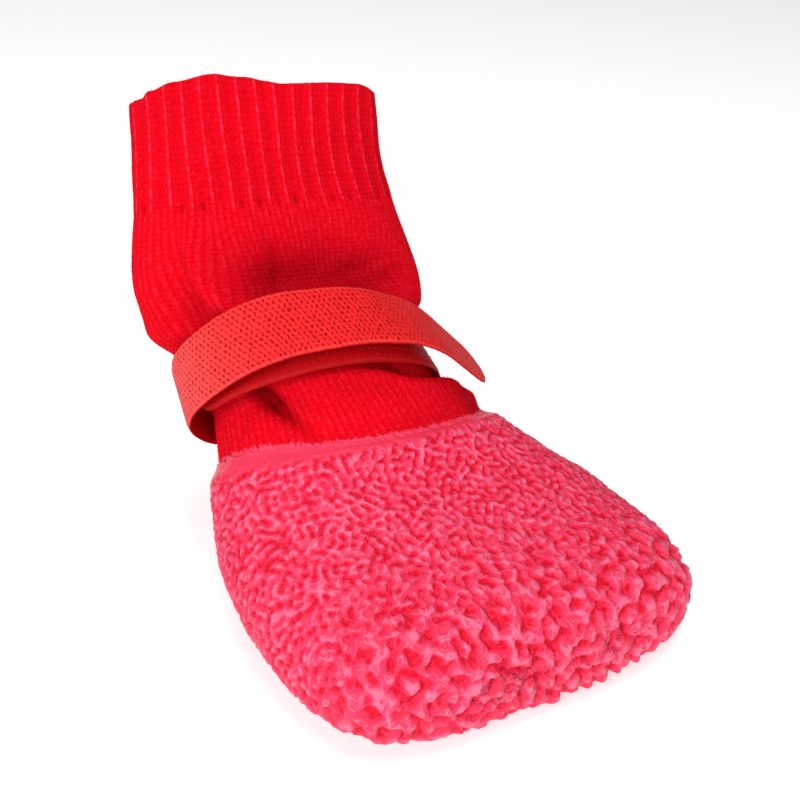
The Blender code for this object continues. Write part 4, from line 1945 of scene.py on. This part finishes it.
@dataclass(frozen=True)
class LooseFibres:
    """Short curved fibre ends that stand off yarn and tape.

    Attributes:
        density: Fibres per square metre where the nap is one.
        sizes: The least and the greatest size of a fibre, as shares of its length.
        lean: The least and the most that a fibre leans from the normal and turns about it, in radians.
    """

    density: float = 1.0e6
    length: float = 0.62
    radius: float = 0.018
    bend: float = 0.4
    sizes: tuple[float, float] = (0.45, 1.25)
    lean: tuple[Triple, Triple] = ((-1.1, -1.1, 0.0), (1.1, 1.1, 6.28))
    seed: int = 7

    def tree(self) -> NodeTree:
        """The geometry tree: points over the host's nap, with a bent fibre on each."""
        sizes = {"Density": self.density, "Length": 0.001, "Radius": 0.0001, "Bend": 0.0005}
        tree, given, made = start_scatter("loose_fibres", sizes, self.seed)
        nap = tree.add("GeometryNodeInputNamedAttribute", {"Name": "nap"}, data_type="FLOAT")
        density = tree.times(nap.outputs["Attribute"], given["Density"])
        inputs = {"Mesh": given["Host"], "Density": density, "Seed": given["Seed"]}
        spread = tree.add("GeometryNodeDistributePointsOnFaces", inputs, distribute_method="RANDOM")
        middle = tree.add("ShaderNodeCombineXYZ", {"Z": tree.times(given["Length"], 0.5)})
        end = tree.add("ShaderNodeCombineXYZ", {"X": given["Bend"], "Z": given["Length"]})
        inputs = {"Resolution": 3, "Start": (0, 0, 0), "Middle": middle.outputs[0], "End": end.outputs[0]}
        arc = tree.add("GeometryNodeCurveQuadraticBezier", inputs)
        size = tree.add("FunctionNodeRandomValue", {2: self.sizes[0], 3: self.sizes[1]}, data_type="FLOAT")
        placed = {
            "Points": spread.outputs["Points"],
            "Instance": round_wire(tree, arc.outputs[0], 3, given["Radius"]),
            "Rotation": random_turn(tree, spread.outputs["Rotation"], self.lean),
            "Scale": size.outputs[1],
        }
        return end_tree(tree, placed, given, made)

    def build(self, host: Piece, name: str, slot: Slot, share: float) -> Piece:
        """Grows the fibres on a piece, in its own finish.

        Args:
            host: The piece they grow on, with a nap attribute.
            name: The name of the fibres' piece.
            slot: The record's slot of the host.
            share: How many there are, against the usual.

        Returns:
            The fibres as one plain mesh.
        """
        finish = host.data.materials[0]
        inputs = {
            "Density": self.density * share,
            "Length": self.length * MM,
            "Radius": self.radius * MM,
            "Bend": self.bend * MM,
            "Seed": self.seed,
            "Finish": finish,
        }
        piece = run_tree(self.tree(), host.data, name, inputs)
        settle(piece, finish, slot)
        return piece


@dataclass(frozen=True)
class Hooks:
    """The hook patch on the strap's first length, under the lap.

    Attributes:
        pitch: The distance between hooks.
        radius: The radius of a hook's bend.
        wire: The radius of its wire.
        sweep: How far round its bend goes, in degrees.
        spin: The least and the most that a hook turns about each axis, in radians.
        start: Where along the tape the hooks start.
        end: Where they end.
        reach: How far to each side of the tape's middle they go.
    """

    strap: Strap
    pitch: float = 1.5
    radius: float = 0.22
    wire: float = 0.045
    sweep: float = 215.0
    spin: tuple[Triple, Triple] = ((-0.5, -0.5, -1.5), (0.5, 0.5, 1.5))
    start: float = 5.0
    end: float = 58.0
    reach: float = 5.4
    seed: int = 3

    def material(self) -> Material:
        """Clear pink nylon."""
        tree = Surface("hook_nylon", 0.3, 0.5)
        tree.set("Base Color", colour(232, 26, 42))
        return tree.material

    def tree(self) -> NodeTree:
        """The geometry tree: a bent wire on each point of the host, along its normal."""
        sizes = {"Radius": 0.0003, "Wire": 0.00007}
        tree, given, made = start_scatter("tape_hooks", sizes, self.seed)
        inputs = {"Resolution": 7, "Radius": given["Radius"], "Sweep Angle": math.radians(self.sweep)}
        arc = tree.add("GeometryNodeCurveArc", inputs, mode="RADIUS")
        wire = round_wire(tree, arc.outputs[0], 4, given["Wire"])
        stood = tree.add("GeometryNodeTransform", {"Geometry": wire, "Rotation": (math.pi / 2, 0.0, 0.0)})
        normal = tree.add("GeometryNodeInputNormal").outputs[0]
        aligned = tree.add("FunctionNodeAlignRotationToVector", {"Vector": normal}, axis="Z")
        placed = {
            "Points": given["Host"],
            "Instance": stood.outputs[0],
            "Rotation": random_turn(tree, aligned.outputs[0], self.spin, given["Seed"]),
        }
        return end_tree(tree, placed, given, made)

    def build(self) -> Piece:
        """Builds and dresses the hooks.

        Returns:
            The hooks as one plain mesh.
        """
        points, up, twists = self.strap.line()
        wide, outwards = self.strap.frames(points, up, twists)
        along = running(lengths(np.diff(points, axis=0)))
        runs = np.arange(self.start, self.end, self.pitch)
        rows = np.arange(-self.reach, self.reach + 0.01, self.pitch)
        middle, side, out = (
            np.stack([np.interp(runs, along, part[:, axis]) for axis in range(3)], -1)[:, None]
            for part in (points, wide, outwards)
        )
        grid = middle + side * rows[None, :, None] + out * (self.strap.thickness / 2)
        count = len(rows)
        faces = [
            (row * count + step, row * count + step + 1, (row + 1) * count + step + 1, (row + 1) * count + step)
            for row in range(len(runs) - 1)
            for step in range(count - 1)
        ]
        mesh = bpy.data.meshes.new("hook_points")
        mesh.from_pydata((grid.reshape(-1, 3) * MM).tolist(), [], faces)
        mesh.update()
        if (Vector(mesh.vertex_normals[0].vector) @ Vector(outwards[0])) < 0:
            mesh.flip_normals()
        finish = self.material()
        inputs = {"Radius": self.radius * MM, "Wire": self.wire * MM, "Seed": self.seed, "Finish": finish}
        piece = run_tree(self.tree(), mesh, "strap_hooks", inputs)
        settle(piece, finish, Slot.TAPE)
        return piece


@dataclass(frozen=True)
class SoftLight:
    """A soft square light: its place and side in metres, its power in watts, and its tint."""

    name: str
    place: Triple
    side: float
    power: float
    tint: Triple


@dataclass(frozen=True)
class Studio:
    """A plain pale floor, soft light from the left, and the camera.

    Attributes:
        camera_place: Where the camera stands, in metres.
        aim: Where it and the lights look, in metres.
        roll: How far it is turned about its line of sight, in degrees.
        lens: Its focal length in millimetres.
        floor_glow: How much the floor shines onto the sock, and floor_shown how much the camera sees.
        world_light: The same for the even light all round, and backdrop what the camera sees.
    """

    camera_place: Triple = (-0.12618, -0.16499, 0.15424)
    aim: Triple = (-0.0015, 0.0010, 0.0440)
    roll: float = 3.61
    lens: float = 53.1
    floor_size: float = 6.0
    floor_glow: float = 0.24
    floor_shown: float = 0.45
    world_light: float = 0.27
    backdrop: float = 0.92
    lights: tuple[SoftLight, ...] = (
        SoftLight("key", (-0.78, -0.48, 0.56), 0.35, 5.7, (1.0, 0.98, 0.96)),
        SoftLight("front", (-0.4, -0.95, 0.4), 0.5, 1.5, (1.0, 0.98, 0.97)),
        SoftLight("top", (-0.1, -0.15, 1.0), 0.45, 3.5, (1.0, 1.0, 1.0)),
    )

    def build(self) -> None:
        """Builds the floor, the lights and the camera."""
        self._floor()
        self._world()
        for light in self.lights:
            self._light(light)
        self._camera()

    def _floor(self) -> None:
        """The floor."""
        half = self.floor_size / 2
        mesh = bpy.data.meshes.new("floor")
        corners = [(-half, -half, 0), (half, -half, 0), (half, half, 0), (-half, half, 0)]
        mesh.from_pydata(corners, [], [(0, 1, 2, 3)])
        floor = add_object("floor", mesh)
        tree = Surface("pale_floor", 0.9, 0.1)
        tree.set("Base Color", (0.96, 0.96, 0.96, 1.0))
        tree.set("Emission Color", WHITE)
        seen = tree.add("ShaderNodeLightPath").outputs["Is Camera Ray"]
        tree.set("Emission Strength", tree.blend(seen, self.floor_glow, self.floor_shown))
        mesh.materials.append(tree.material)

    def _world(self) -> None:
        """The even light all round."""
        world = bpy.data.worlds.new("studio")
        world.use_nodes = True
        backdrop = world.node_tree.nodes["Background"]
        backdrop.inputs["Color"].default_value = WHITE
        tree = Tree(world.node_tree)
        seen = tree.add("ShaderNodeLightPath").outputs["Is Camera Ray"]
        tree.feed(backdrop.inputs["Strength"], tree.blend(seen, self.world_light, self.backdrop))
        bpy.context.scene.world = world

    def _look(self, item: Piece, place: Triple) -> None:
        """Sets a light or the camera at its place, where it looks at the sock."""
        item.location = place
        item.rotation_mode = "QUATERNION"
        item.rotation_quaternion = (Vector(self.aim) - Vector(place)).to_track_quat("-Z", "Y")

    def _light(self, light: SoftLight) -> None:
        """One light."""
        data = bpy.data.lights.new(light.name, "AREA")
        data.size, data.energy, data.color = light.side, light.power, light.tint
        self._look(add_object(light.name, data), light.place)

    def _camera(self) -> None:
        """The camera, from the front and a little above."""
        data = bpy.data.cameras.new("camera")
        data.lens, data.sensor_width = self.lens, 36.0
        data.clip_start, data.clip_end = 0.01, 20.0
        camera = add_object("camera", data)
        self._look(camera, self.camera_place)
        roll = Quaternion((0, 0, 1), math.radians(self.roll))
        camera.rotation_quaternion = camera.rotation_quaternion @ roll
        bpy.context.scene.camera = camera
        bpy.context.scene.view_settings.view_transform = "Standard"


def main() -> None:
    """Builds the studio and the sock's pieces in order."""
    logging.basicConfig(level=logging.INFO, format="%(name)s %(message)s", stream=sys.stdout)
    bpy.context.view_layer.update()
    Studio().build()
    form = SockForm()
    effects = Effects()
    strap = Strap(form, TapeFinish(effects))
    knit = KnitSock(form, strap, KnitFinish(effects)).build()
    LatexFoot(form, LatexFinish(effects)).build()
    tape = strap.build()
    Hooks(strap).build()
    fibres = LooseFibres()
    fibres.build(knit, "knit_fibres", Slot.KNIT, 1.0)
    fibres.build(tape, "tape_fibres", Slot.TAPE, 1.0)


if __name__ == "__main__":
    main()
